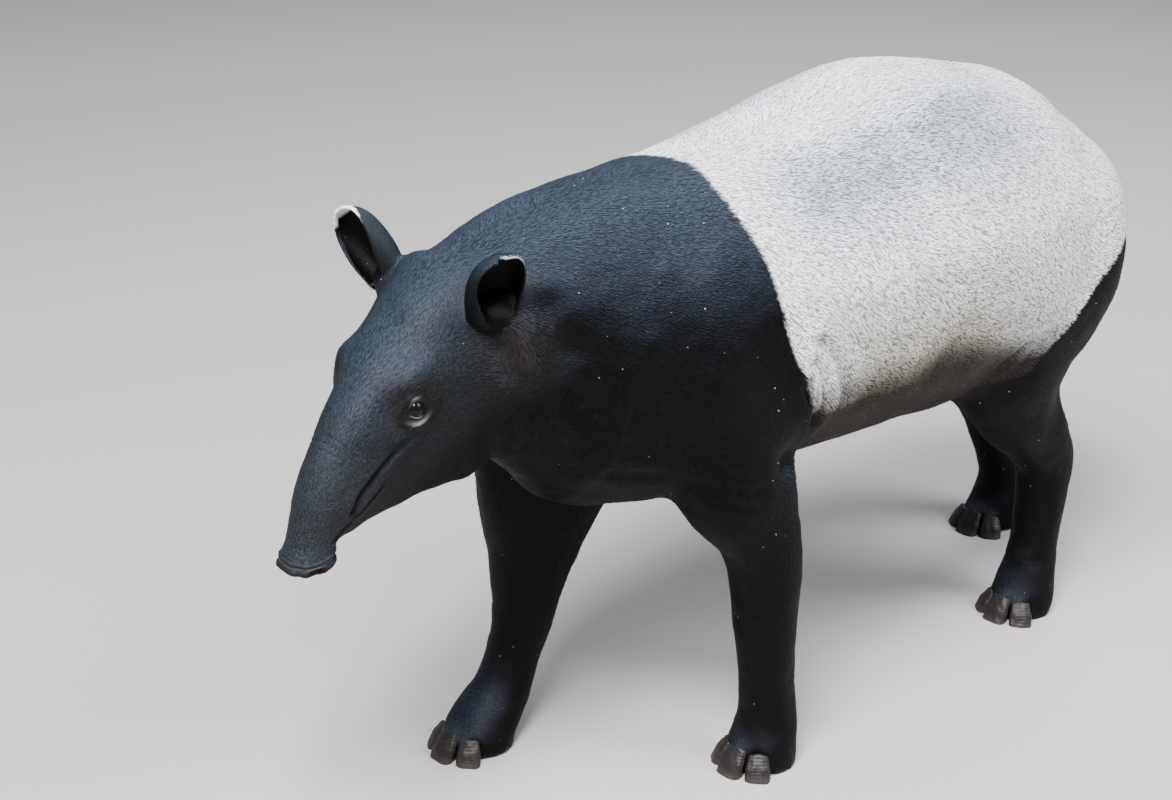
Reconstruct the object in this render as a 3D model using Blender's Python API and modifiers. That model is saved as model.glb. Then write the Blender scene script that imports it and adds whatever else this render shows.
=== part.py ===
"""Malayan tapir: a still, life-size model of an adult, walking with its head low.

It faces -Y, its left side is +X, and it stands on Z = 0. All lengths are in metres.
The flesh is built up from tapering tubes and rounded muscle masses, fused into one skin,
and then parted with thin cuts into head, snout, neck, trunk, legs, feet and tail.
"""

import math

import bmesh
import bpy
import numpy as np
from mathutils import Matrix, Vector

# Driving dimensions of the animal.
SHOULDER_HEIGHT = 0.975
LOIN_HEIGHT = 1.05
BELLY_HEIGHT = 0.45
BODY_HALF_WIDTH = 0.285
RUMP_Y = 0.775
EAR_LENGTH = 0.122
EAR_WIDTH = 0.086
EAR_THICKNESS = 0.004
EYE_RADIUS = 0.0155
LID_THICKNESS = 0.0035
TAIL_LENGTH = 0.085
TOE_REACH = 0.052

# How the head is held: where its crown is, and how it turns, in degrees.
CROWN = Vector((-0.002, -0.690, 0.862))
HEAD_PITCH = 47.0
HEAD_YAW = 6.0
HEAD_ROLL = 5.0

# The snout's path in the head's frame: its end hangs straight down.
SNOUT = (
    # across, ahead, above, then half sizes across, above and below, and the section's power
    (0.0, -0.280, 0.004, 0.046, 0.044, 0.040, 2.1),
    (0.0, -0.325, 0.002, 0.041, 0.034, 0.038, 2.1),
    (0.0, -0.360, -0.008, 0.036, 0.026, 0.036, 2.1),
    (0.0, -0.383, -0.021, 0.034, 0.026, 0.033, 2.2),
    (0.0, -0.398, -0.036, 0.040, 0.040, 0.036, 2.4),
    (0.0, -0.408, -0.047, 0.042, 0.043, 0.038, 2.4),
)

# Places along the head: ahead of the crown, to its left, and above its axis.
EAR_ROOT = (-0.008, 0.096, -0.014)
EYE = (0.157, 0.0665, -0.001)
MOUTH_CORNER = 0.240
MOUTH_HEIGHT = -0.064
LIP_TIP = 0.364

# Each ear leans outwards, forwards and up, and opens this many degrees from straight ahead.
EAR_LEAN = {"left": (0.040, 0.030, 0.100), "right": (0.075, 0.020, 0.100)}
EAR_OPENS = {"left": 80.0, "right": 12.0}
EAR_ROWS = 8
EAR_COLUMNS = 10

# Where each foot stands, as X and Y of its middle.
FOOT_PLACES = {
    "front_left": (0.190, -0.182),
    "front_right": (-0.150, -0.502),
    "hind_left": (0.135, 0.565),
    "hind_right": (-0.137, 0.820),
}

# Where the parts are divided, and how the saddle's edges slope, in degrees.
ANKLE_HEIGHT = 0.105
ELBOW_HEIGHT = 0.445
UPPER_ARM = 0.105
NECK_START = -0.460
SNOUT_START = 0.300
HOCK_HEIGHT = 0.330
THIGH_SLOPE = 33.0
SADDLE_FRONT = -0.200
SADDLE_SLOPE = 11.0

# How fine the flesh is.
VOXEL = 0.008
FLESH_TRIANGLES = 5400
GAP = 0.0003
FAR = 2.0

BLACK_HIDE = (0.016, 0.017, 0.020)
WHITE_HIDE = (0.600, 0.610, 0.600)
HOOF_HORN = (0.055, 0.048, 0.042)
EYE_BROWN = (0.012, 0.009, 0.008)


def clear_scene():
    for old in list(bpy.data.objects):
        bpy.data.objects.remove(old)


def new_collection(name, helper=False):
    made = bpy.data.collections.new(name)
    bpy.context.scene.collection.children.link(made)
    made.hide_render = helper
    return made


def material(name, colour, roughness):
    made = bpy.data.materials.new(name)
    made.use_nodes = True
    shader = made.node_tree.nodes["Principled BSDF"]
    shader.inputs["Base Color"].default_value = (*colour, 1.0)
    shader.inputs["Roughness"].default_value = roughness
    made.diffuse_color = (*colour, 1.0)
    return made


def signed_power(value, power):
    return math.copysign(abs(value) ** power, value)


def smooth_rows(rows, count):
    """Rows of numbers, the first three a place, resampled along a Catmull-Rom curve through them."""
    rows = np.array(rows, float)
    steps = np.linalg.norm(np.diff(rows[:, :3], axis=0), axis=1)
    along = np.concatenate([[0.0], np.cumsum(np.sqrt(steps))])
    slopes = np.gradient(rows, along, axis=0)
    made = []
    for at in np.linspace(0.0, along[-1], count):
        i = min(int(np.searchsorted(along, at, side="right")) - 1, len(rows) - 2)
        span = along[i + 1] - along[i]
        t = (at - along[i]) / span
        made.append(
            (2 * t**3 - 3 * t**2 + 1) * rows[i]
            + (t**3 - 2 * t**2 + t) * span * slopes[i]
            + (3 * t**2 - 2 * t**3) * rows[i + 1]
            + (t**3 - t**2) * span * slopes[i + 1]
        )
    return np.array(made)


def object_of(name, bm, collection):
    bmesh.ops.recalc_face_normals(bm, faces=bm.faces[:])
    mesh = bpy.data.meshes.new(name)
    bm.to_mesh(mesh)
    bm.free()
    made = bpy.data.objects.new(name, mesh)
    collection.objects.link(made)
    return made


def tube(name, stations, collection, rings=24, sides=28, domes=(0.0, 0.0), place=None):
    """A closed tube through stations of (x, y, z, side, front, back, square).

    Side, front and back are half sizes across the path: side along X, front turned a
    quarter from it. Square is the section's power, 2 for an ellipse. Domes are the
    lengths of the rounded ends, and place moves the whole tube.
    """
    rows = smooth_rows(stations, rings)
    tangents = np.gradient(rows[:, :3], axis=0)
    ends = []
    for dome, row, tangent, sign in (
        (domes[0], rows[0], tangents[0], -1.0),
        (domes[1], rows[-1], tangents[-1], 1.0),
    ):
        unit = tangent / np.linalg.norm(tangent)
        extra = []
        for share in (0.45, 0.8, 0.97) if dome else ():
            ring = row.copy()
            ring[:3] += sign * dome * share * unit
            ring[3:6] *= math.sqrt(1.0 - share**2)
            extra.append((ring, unit))
        ends.append(extra)
    body = [(row, tangent) for row, tangent in zip(rows, tangents)]
    chain = ends[0][::-1] + body + ends[1]

    bm = bmesh.new()
    loops = []
    for row, tangent in chain:
        along = Vector(tangent).normalized()
        side = (Vector((1, 0, 0)) - along * along.x).normalized()
        front = along.cross(side)
        loop = []
        for k in range(sides):
            angle = 2.0 * math.pi * k / sides
            across = row[3] * signed_power(math.cos(angle), 2.0 / row[6])
            half = row[4] if math.sin(angle) >= 0.0 else row[5]
            rise = half * signed_power(math.sin(angle), 2.0 / row[6])
            loop.append(bm.verts.new(Vector(row[:3]) + side * across + front * rise))
        loops.append(loop)
    for first, second in zip(loops, loops[1:]):
        for k in range(sides):
            n = (k + 1) % sides
            bm.faces.new((first[k], first[n], second[n], second[k]))
    for loop in (loops[0], loops[-1]):
        bm.faces.new(loop)
    if place is not None:
        bm.transform(place)
    return object_of(name, bm, collection)


def mass(name, centre, sizes, collection, turn=(0.0, 0.0, 0.0), place=None, fineness=24):
    """A rounded muscle mass: an ellipsoid of half sizes, turned by degrees about X, Y and Z."""
    bm = bmesh.new()
    bmesh.ops.create_uvsphere(bm, u_segments=fineness, v_segments=2 * fineness // 3, radius=1.0)
    spin = Matrix.Identity(4)
    for degrees, axis in zip(turn, "XYZ"):
        spin = Matrix.Rotation(math.radians(degrees), 4, axis) @ spin
    bm.transform(Matrix.Translation(centre) @ spin @ Matrix.Diagonal((*sizes, 1.0)))
    if place is not None:
        bm.transform(place)
    return object_of(name, bm, collection)


def settled(obj):
    """The object with its modifiers applied."""
    graph = bpy.context.evaluated_depsgraph_get()
    mesh = bpy.data.meshes.new_from_object(obj.evaluated_get(graph))
    obj.modifiers.clear()
    old = obj.data
    obj.data = mesh
    bpy.data.meshes.remove(old)
    return obj


def volume_of(mesh):
    """The volume that a mesh holds, or nothing where it isn't closed."""
    bm = bmesh.new()
    bm.from_mesh(mesh)
    closed = len(bm.faces) > 0 and all(edge.is_manifold for edge in bm.edges)
    volume = bm.calc_volume() if closed else 0.0
    bm.free()
    return volume


def is_sound(mesh, before, other, operation):
    """Whether a Boolean's result is closed, with a volume that its two solids allow."""
    made, own, tool = volume_of(mesh), volume_of(before), volume_of(other)
    slack = 1e-6 + 1e-3 * own
    if operation == "UNION":
        return made > max(own, tool) - slack
    if operation == "INTERSECT":
        return 0.0 < made < min(own, tool) + slack
    return 0.0 < made < own + slack and made > own - tool - slack


def boolean(obj, other, operation):
    """One Boolean, applied. EXACT comes first, and MANIFOLD where EXACT's result isn't sound."""
    before = obj.data
    for solver in ("EXACT", "MANIFOLD"):
        change = obj.modifiers.new(operation.title(), "BOOLEAN")
        change.operation = operation
        change.solver = solver
        change.object = other
        graph = bpy.context.evaluated_depsgraph_get()
        mesh = bpy.data.meshes.new_from_object(obj.evaluated_get(graph))
        obj.modifiers.clear()
        if is_sound(mesh, before, other.data, operation):
            break
    obj.data = mesh
    bpy.data.meshes.remove(before)
    return obj


def remove(*objects):
    for old in objects:
        bpy.data.objects.remove(old)


def join_all(name, pieces, collection):
    """One Boolean union of a collection's closed meshes, which are then removed."""
    objects = list(pieces.objects)
    base = objects[0]
    pieces.objects.unlink(base)
    collection.objects.link(base)
    base.name = name
    union = base.modifiers.new("Union", "BOOLEAN")
    union.operation = "UNION"
    union.solver = "MANIFOLD"
    union.operand_type = "COLLECTION"
    union.collection = pieces
    settled(base)
    remove(*objects[1:])
    return base


def largest_surface(obj):
    """Keeps the largest closed surface of an object, and drops loose scraps."""
    bm = bmesh.new()
    bm.from_mesh(obj.data)
    unseen = set(bm.verts)
    islands = []
    while unseen:
        stack = [unseen.pop()]
        island = set(stack)
        while stack:
            for edge in stack.pop().link_edges:
                for vert in edge.verts:
                    if vert in unseen:
                        unseen.discard(vert)
                        island.add(vert)
                        stack.append(vert)
        islands.append(island)
    islands.sort(key=len)
    for island in islands[:-1]:
        bmesh.ops.delete(bm, geom=list(island), context="VERTS")
    bm.to_mesh(obj.data)
    bm.free()
    return obj


def grown(obj, by, collection):
    """A copy of the object with every face moved outwards."""
    mesh = obj.data.copy()
    made = bpy.data.objects.new(obj.name + "_grown", mesh)
    collection.objects.link(made)
    bm = bmesh.new()
    bm.from_mesh(mesh)
    bm.normal_update()
    moves = [vert.normal * by for vert in bm.verts]
    for vert, move in zip(bm.verts, moves):
        vert.co += move
    bm.to_mesh(mesh)
    bm.free()
    return made


def box(name, low, high, collection, place=None):
    bm = bmesh.new()
    bmesh.ops.create_cube(bm, size=1.0)
    middle = (Vector(low) + Vector(high)) / 2.0
    size = Vector(high) - Vector(low)
    bm.transform(Matrix.Translation(middle) @ Matrix.Diagonal((*size, 1.0)))
    if place is not None:
        bm.transform(place)
    return object_of(name, bm, collection)


def head_place():
    """Turns the head's own frame, facing -Y with its crown at the origin, into its place."""
    yaw = Matrix.Rotation(math.radians(HEAD_YAW), 4, "Z")
    pitch = Matrix.Rotation(math.radians(HEAD_PITCH), 4, "X")
    roll = Matrix.Rotation(math.radians(HEAD_ROLL), 4, "Y")
    return Matrix.Translation(CROWN) @ yaw @ pitch @ roll


def on_head(forward, left, up):
    """A place given along the head: forward from the crown, to its left and above its axis."""
    return head_place() @ Vector((left, -forward, up))


def head_station(forward, top, bottom, half_width, middle, square=2.15):
    return (0.0, -forward, middle, half_width, top - middle, middle - bottom, square)


def build_trunk(pieces):
    # y, top, bottom, half width, power of the section
    profile = (
        (0.735, 0.842, 0.620, 0.110, 2.1),
        (0.680, 0.908, 0.560, 0.184, 2.1),
        (0.565, 0.980, 0.480, 0.245, 2.0),
        (0.420, LOIN_HEIGHT - 0.014, 0.450, 0.278, 2.0),
        (0.240, LOIN_HEIGHT, BELLY_HEIGHT + 0.005, BODY_HALF_WIDTH + 0.003, 2.2),
        (0.030, 1.013, BELLY_HEIGHT + 0.012, 0.276, 2.2),
        (-0.180, SHOULDER_HEIGHT + 0.007, 0.458, 0.255, 2.2),
        (-0.330, SHOULDER_HEIGHT + 0.010, 0.458, 0.230, 2.1),
        (-0.440, 0.989, 0.510, 0.200, 2.1),
        (-0.540, 0.974, 0.580, 0.168, 2.1),
        (-0.630, 0.937, 0.650, 0.136, 2.1),
        (-0.690, 0.895, 0.700, 0.095, 2.0),
    )
    stations = []
    for y, top, bottom, half_width, square in profile:
        middle = 0.5 * (top + bottom)
        stations.append((0.0, y, middle, half_width, top - middle, middle - bottom, square))
    tube("trunk", stations, pieces, rings=44, sides=40, domes=(0.045, 0.03))
    for sign in (1, -1):
        shoulder = (0.148 * sign, -0.290 if sign > 0 else -0.330, 0.680)
        mass("shoulder", shoulder, (0.100, 0.130, 0.230), pieces, (10, 0, 0))
        haunch = (0.150 * sign, 0.520, 0.700)
        mass("haunch", haunch, (0.120, 0.180, 0.225), pieces, (-12, 0, 0))
    mass("brisket", (0.0, -0.410, 0.570), (0.130, 0.130, 0.100), pieces)


def build_head(pieces):
    place = head_place()
    # forward, top, bottom, half width, height of the widest place
    stations = [
        head_station(-0.060, 0.035, -0.225, 0.110, -0.080),
        head_station(0.010, 0.048, -0.250, 0.108, -0.080),
        head_station(0.080, 0.060, -0.262, 0.098, -0.068),
        head_station(0.140, 0.062, -0.250, 0.086, -0.050),
        head_station(0.190, 0.062, -0.206, 0.074, -0.042),
        head_station(0.240, 0.058, -0.154, 0.062, -0.036),
        head_station(0.290, 0.050, -0.120, 0.050, -0.030),
        head_station(0.330, 0.032, -0.103, 0.041, -0.035),
        head_station(0.352, 0.010, -0.090, 0.033, -0.045),
    ]
    tube("skull", stations, pieces, rings=34, sides=36, domes=(0.0, 0.012), place=place)
    tube("snout", SNOUT, pieces, rings=24, sides=32, domes=(0.0, 0.0), place=place)
    for sign in (1, -1):
        cheek = (0.050 * sign, -0.095, -0.110)
        mass("cheek", cheek, (0.048, 0.085, 0.080), pieces, (12, 0, 0), place)
        brow = (0.054 * sign, -0.128, 0.022)
        mass("brow", brow, (0.025, 0.045, 0.022), pieces, (0, 25 * sign, 0), place)
        root = (EAR_ROOT[1] * sign, -EAR_ROOT[0], EAR_ROOT[2])
        mass("ear_root", root, (0.026, 0.030, 0.030), pieces, (0, 0, 0), place)


# Each leg as X, Y, Z, then its half sizes across, to the front and to the back.
LEGS = {
    "front_left": (
        (0.150, -0.270, 0.640, 0.095, 0.140, 0.135),
        (0.172, -0.245, 0.520, 0.090, 0.110, 0.106),
        (0.186, -0.200, 0.410, 0.071, 0.074, 0.060),
        (0.190, -0.188, 0.310, 0.060, 0.052, 0.056),
        (0.190, -0.182, 0.215, 0.052, 0.048, 0.051),
        (0.190, -0.174, 0.140, 0.046, 0.046, 0.048),
        (0.190, -0.170, 0.085, 0.047, 0.048, 0.048),
        (0.190, -0.177, 0.035, 0.058, 0.058, 0.052),
        (0.190, -0.182, 0.000, 0.062, 0.064, 0.055),
    ),
    "front_right": (
        (-0.145, -0.315, 0.640, 0.095, 0.140, 0.135),
        (-0.160, -0.350, 0.520, 0.094, 0.128, 0.172),
        (-0.156, -0.372, 0.410, 0.086, 0.098, 0.148),
        (-0.152, -0.385, 0.310, 0.066, 0.071, 0.090),
        (-0.150, -0.400, 0.215, 0.052, 0.052, 0.055),
        (-0.150, -0.424, 0.140, 0.046, 0.046, 0.048),
        (-0.150, -0.445, 0.085, 0.046, 0.048, 0.046),
        (-0.150, -0.486, 0.035, 0.058, 0.058, 0.052),
        (-0.150, -0.500, 0.000, 0.062, 0.064, 0.055),
    ),
    "hind_left": (
        (0.125, 0.460, 0.660, 0.105, 0.170, 0.160),
        (0.140, 0.465, 0.550, 0.100, 0.150, 0.145),
        (0.142, 0.505, 0.440, 0.078, 0.105, 0.088),
        (0.138, 0.568, 0.350, 0.060, 0.070, 0.058),
        (0.135, 0.600, 0.295, 0.054, 0.056, 0.056),
        (0.133, 0.600, 0.190, 0.047, 0.047, 0.050),
        (0.133, 0.590, 0.100, 0.047, 0.047, 0.048),
        (0.135, 0.575, 0.040, 0.056, 0.056, 0.050),
        (0.135, 0.565, 0.000, 0.060, 0.062, 0.054),
    ),
    "hind_right": (
        (-0.125, 0.490, 0.660, 0.105, 0.150, 0.160),
        (-0.140, 0.540, 0.550, 0.100, 0.140, 0.145),
        (-0.142, 0.630, 0.440, 0.078, 0.100, 0.100),
        (-0.138, 0.720, 0.350, 0.060, 0.070, 0.070),
        (-0.135, 0.762, 0.295, 0.054, 0.058, 0.066),
        (-0.135, 0.815, 0.190, 0.047, 0.047, 0.052),
        (-0.135, 0.846, 0.105, 0.047, 0.047, 0.048),
        (-0.137, 0.838, 0.040, 0.056, 0.056, 0.050),
        (-0.137, 0.825, 0.000, 0.060, 0.062, 0.054),
    ),
}


def build_legs(pieces):
    for leg, rows in LEGS.items():
        stations = [(*row, 2.2) for row in rows]
        tube(leg, stations, pieces, rings=36, sides=24, domes=(0.03, 0.0))


def toes_of(leg):
    """Each toe's name, its direction from straight ahead in degrees, and its size."""
    outer = 1.0 if leg.endswith("left") else -1.0
    toes = [("middle", 0.0, 1.0), ("outer", 40.0 * outer, 0.88), ("inner", -40.0 * outer, 0.88)]
    if leg.startswith("front"):
        toes.append(("side", 84.0 * outer, 0.64))
    return toes


def toe_place(leg, angle):
    """A frame on the floor under the toe's middle: its -Y points along the toe."""
    x, y = FOOT_PLACES[leg]
    turn = Matrix.Rotation(math.radians(angle), 4, "Z")
    reach = TOE_REACH if abs(angle) < 60.0 else 0.66 * TOE_REACH
    return Matrix.Translation((x, y, 0.0)) @ turn @ Matrix.Translation((0.0, -reach, 0.0))


def build_toes(pieces):
    for leg in FOOT_PLACES:
        for _, angle, size in toes_of(leg):
            sizes = (0.0245 * size, 0.040 * size, 0.030 * size)
            centre = (0.0, 0.012, 0.024 * size)
            mass("toe", centre, sizes, pieces, (24, 0, 0), toe_place(leg, angle))


def hoof_nail(name, leg, angle, size, collection):
    """One hoof: a broad rounded nail that leans forward over the toe and widens to the ground."""
    # across, along, height, then half sizes across, to its face and to its back
    rows = (
        (0.0, 0.000, 0.040, 0.0185, 0.0080, 0.0100),
        (0.0, -0.008, 0.028, 0.0225, 0.0100, 0.0140),
        (0.0, -0.017, 0.012, 0.0240, 0.0110, 0.0170),
        (0.0, -0.024, -0.004, 0.0235, 0.0105, 0.0180),
    )
    stations = [(*(value * size for value in row), 2.5) for row in rows]
    place = toe_place(leg, angle)
    return tube(name, stations, collection, rings=3, sides=10, domes=(0.004, 0.0), place=place)


def build_flesh(collection):
    """All the flesh as one closed skin, softened where its masses meet."""
    pieces = new_collection("masses", helper=True)
    build_trunk(pieces)
    build_head(pieces)
    build_legs(pieces)
    build_toes(pieces)
    tail = [
        (0.0, RUMP_Y - 0.045, 0.835, 0.036, 0.032, 0.032, 2.0),
        (0.0, RUMP_Y + 0.020, 0.810, 0.030, 0.026, 0.026, 2.0),
        (0.0, RUMP_Y + 0.048, 0.770, 0.024, 0.020, 0.020, 2.0),
        (0.0, RUMP_Y + 0.056, 0.822 - TAIL_LENGTH, 0.015, 0.013, 0.013, 2.0),
    ]
    tube("tail", tail, pieces, rings=12, sides=16, domes=(0.0, 0.012))
    flesh = join_all("flesh", pieces, collection)

    remesh = flesh.modifiers.new("Remesh", "REMESH")
    remesh.mode = "VOXEL"
    remesh.voxel_size = VOXEL
    settled(flesh)
    soften(flesh)
    thin = flesh.modifiers.new("Decimate", "DECIMATE")
    thin.ratio = FLESH_TRIANGLES / (2.0 * len(flesh.data.polygons))
    settled(flesh)
    bpy.data.collections.remove(pieces)
    return flesh


def soften(flesh):
    """Smooths the body strongly, and the head, legs and feet less."""
    group = flesh.vertex_groups.new(name="body")
    for vert in flesh.data.vertices:
        ahead = (vert.co - CROWN).dot(on_head(1.0, 0.0, 0.0) - CROWN)
        head_share = min(max((ahead + 0.10) / 0.12, 0.0), 1.0)
        foot_share = min(max((0.16 - vert.co.z) / 0.08, 0.0), 1.0)
        leg_share = min(max((0.46 - vert.co.z) / 0.10, 0.0), 1.0)
        stiff = max(0.82 * head_share, 0.90 * foot_share, 0.70 * leg_share)
        group.add([vert.index], 1.0 - stiff, "REPLACE")
    smooth = flesh.modifiers.new("Smooth", "SMOOTH")
    smooth.factor = 0.5
    smooth.iterations = 50
    smooth.vertex_group = group.name
    settled(flesh)
    flesh.vertex_groups.clear()


def ear_place(side):
    """A frame at the ear's root: +Z along the ear, +Y out of its opening."""
    sign = 1.0 if side == "left" else -1.0
    ahead = Vector((math.sin(math.radians(HEAD_YAW)), -math.cos(math.radians(HEAD_YAW)), 0.0))
    outward = Vector((-ahead.y, ahead.x, 0.0)) * sign
    aside, forward, rise = EAR_LEAN[side]
    up = (outward * aside + ahead * forward + Vector((0, 0, rise))).normalized()
    opens = math.radians(EAR_OPENS[side])
    out = ahead * math.cos(opens) + outward * math.sin(opens)
    out = (out - up * out.dot(up)).normalized()
    across = out.cross(up)
    turn = Matrix((across, out, up)).transposed().to_4x4()
    root = on_head(EAR_ROOT[0], EAR_ROOT[1] * sign, EAR_ROOT[2])
    return Matrix.Translation(root) @ turn


def ear_half_width(t):
    """Half the ear's width at this share of its length: a narrow root, a broad leaf, a round tip."""
    leaf = 0.40 + 0.60 * math.sin(math.pi * (0.14 + 0.60 * min(t, 0.6)))
    tip = max((t - 0.55) / 0.45, 0.0)
    return 0.5 * EAR_WIDTH * leaf * math.sqrt(max(1.0 - 0.985 * tip**2.4, 0.0))


def ear_shell(side, collection):
    """One ear: a thin leaf curled round its own length, nearly closed at the root."""
    bm = bmesh.new()
    loops = []
    for i in range(EAR_ROWS + 1):
        t = i / EAR_ROWS
        half_width = ear_half_width(t)
        spread = math.radians(150.0 - 65.0 * t)
        loop = []
        for k in range(EAR_COLUMNS + 1):
            angle = spread * (2.0 * k / EAR_COLUMNS - 1.0)
            across = half_width * math.sin(angle)
            deep = -0.72 * half_width * math.cos(angle) + 0.012 * t * t
            loop.append(bm.verts.new((across, deep, EAR_LENGTH * t)))
        loops.append(loop)
    for first, second in zip(loops, loops[1:]):
        for k in range(EAR_COLUMNS):
            bm.faces.new((first[k], first[k + 1], second[k + 1], second[k]))
    bm.transform(ear_place(side))
    ear = object_of("ear_" + side, bm, collection)
    wall = ear.modifiers.new("Wall", "SOLIDIFY")
    wall.thickness = EAR_THICKNESS
    wall.offset = 0.0
    return settled(ear)


def make_room(flesh, other, animal, gap=1.4 * GAP):
    """Cuts the flesh back round another solid, so that a thin gap is left between them."""
    room = grown(other, gap, animal)
    boolean(flesh, room, "DIFFERENCE")
    remove(room)


def add_ears(flesh, animal):
    """Two ears, each ending at the head that it grows from."""
    ears = []
    for side in ("left", "right"):
        ear = boolean(ear_shell(side, animal), flesh, "DIFFERENCE")
        ears.append(largest_surface(ear))
    for ear in ears:
        make_room(flesh, ear, animal, 3.0 * GAP)
    return ears


def add_eyes(flesh, animal):
    """Lids over an eyeball on each side, with an almond opening between them."""
    eyes = []
    for side, sign in (("left", 1), ("right", -1)):
        place = head_place()
        centre = (EYE[1] * sign, -EYE[0], EYE[2])
        across = EYE_RADIUS + LID_THICKNESS
        sizes = (across, 1.25 * across, across)
        lid = mass("lids", centre, sizes, animal, place=place, fineness=16)
        boolean(flesh, lid, "UNION")
        room = EYE_RADIUS + GAP
        socket = mass("socket", centre, (room, room, room), animal, place=place, fineness=16)
        boolean(flesh, socket, "DIFFERENCE")
        gaze = ((EYE[1] + EYE_RADIUS) * sign, -EYE[0], EYE[2])
        almond = (0.0120, 0.0125, 0.0080)
        opening = mass("opening", gaze, almond, animal, (14, 0, 0), place, fineness=16)
        boolean(flesh, opening, "DIFFERENCE")
        size = (EYE_RADIUS, EYE_RADIUS, EYE_RADIUS)
        eyes.append(mass("eye_" + side, centre, size, animal, place=place, fineness=16))
        remove(lid, socket, opening)
    return eyes


def cut_mouth(flesh, animal):
    """The line of the mouth: a slit along both sides of the muzzle and round its front."""
    low = MOUTH_HEIGHT - 0.0015
    high = MOUTH_HEIGHT + 0.0015
    spans = (
        ((0.020, -LIP_TIP, low), (0.090, -MOUTH_CORNER, high)),
        ((-0.090, -LIP_TIP, low), (-0.020, -MOUTH_CORNER, high)),
        ((-0.090, -LIP_TIP - 0.004, low), (0.090, -LIP_TIP + 0.030, high)),
    )
    for start, end in spans:
        slit = box("slit", start, end, animal, head_place())
        boolean(flesh, slit, "DIFFERENCE")
        remove(slit)


def cut_nostrils(flesh, animal):
    """Two oval nostrils in the flat end of the snout."""
    end = SNOUT[-1]
    for sign in (1, -1):
        centre = (0.0185 * sign, end[1] - 0.004, end[2] - 0.004)
        sizes = (0.011, 0.016, 0.016)
        hollow = mass("nostril", centre, sizes, animal, (43, 0, 0), head_place(), fineness=16)
        boolean(flesh, hollow, "DIFFERENCE")
        remove(hollow)


def stand_on_floor(obj, animal):
    below = box("floor", (-1.0, -2.0, -1.0), (1.0, 2.0, 0.0), animal)
    boolean(obj, below, "DIFFERENCE")
    remove(below)
    return largest_surface(obj)


def add_hooves(flesh, animal):
    """A broad nail over the tip of every toe, set into the foot."""
    hooves = []
    for leg in FOOT_PLACES:
        for toe, angle, size in toes_of(leg):
            hoof = hoof_nail("hoof_" + leg + "_" + toe, leg, angle, size, animal)
            hooves.append(stand_on_floor(hoof, animal))
    for hoof in hooves:
        make_room(flesh, hoof, animal)
    return hooves


def carve(flesh, name, cutter, animal):
    """Parts one piece of the flesh with a cutter, leaving a thin gap all round it."""
    piece = bpy.data.objects.new(name, flesh.data.copy())
    animal.objects.link(piece)
    boolean(piece, cutter, "INTERSECT")
    room = grown(cutter, math.sqrt(3.0) * GAP, animal)
    boolean(flesh, room, "DIFFERENCE")
    remove(cutter, room)
    largest_surface(flesh)
    return largest_surface(piece)


def carve_box(flesh, name, low, high, animal, place=None):
    return carve(flesh, name, box("cutter", low, high, animal, place), animal)


def carve_front_leg(flesh, side, animal):
    """A front leg from its rounded upper arm down to the ankle."""
    sign = 1.0 if side == "left" else -1.0
    elbow = LEGS["front_" + side][1]
    inner = 0.055 * sign
    low = (min(inner, FAR * sign), -0.75, 0.0)
    high = (max(inner, FAR * sign), 0.10, ELBOW_HEIGHT)
    cutter = box("cutter", low, high, animal)
    centre = (elbow[0] + 0.050 * sign, elbow[1] + 0.035, ELBOW_HEIGHT)
    arm = mass("arm", centre, (0.130, 0.130, UPPER_ARM), animal)
    boolean(cutter, arm, "UNION")
    remove(arm)
    return carve(flesh, "leg_front_" + side, cutter, animal)


def carve_snout(flesh, animal):
    """The snout above the line of the mouth, with its tip, which hangs down past the lower lip."""
    place = head_place()
    low, high = (-0.2, -FAR, MOUTH_HEIGHT), (0.2, -SNOUT_START, 0.3)
    cutter = box("cutter", low, high, animal, place)
    low, high = (-0.2, -FAR, -0.15), (0.2, -LIP_TIP - 0.003, 0.0)
    tip = box("tip", low, high, animal, place)
    boolean(cutter, tip, "UNION")
    remove(tip)
    return carve(flesh, "snout", cutter, animal)


def slanted(point, degrees):
    """A frame at a point in the animal's middle, turned about X."""
    return Matrix.Translation(point) @ Matrix.Rotation(math.radians(degrees), 4, "X")


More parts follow.
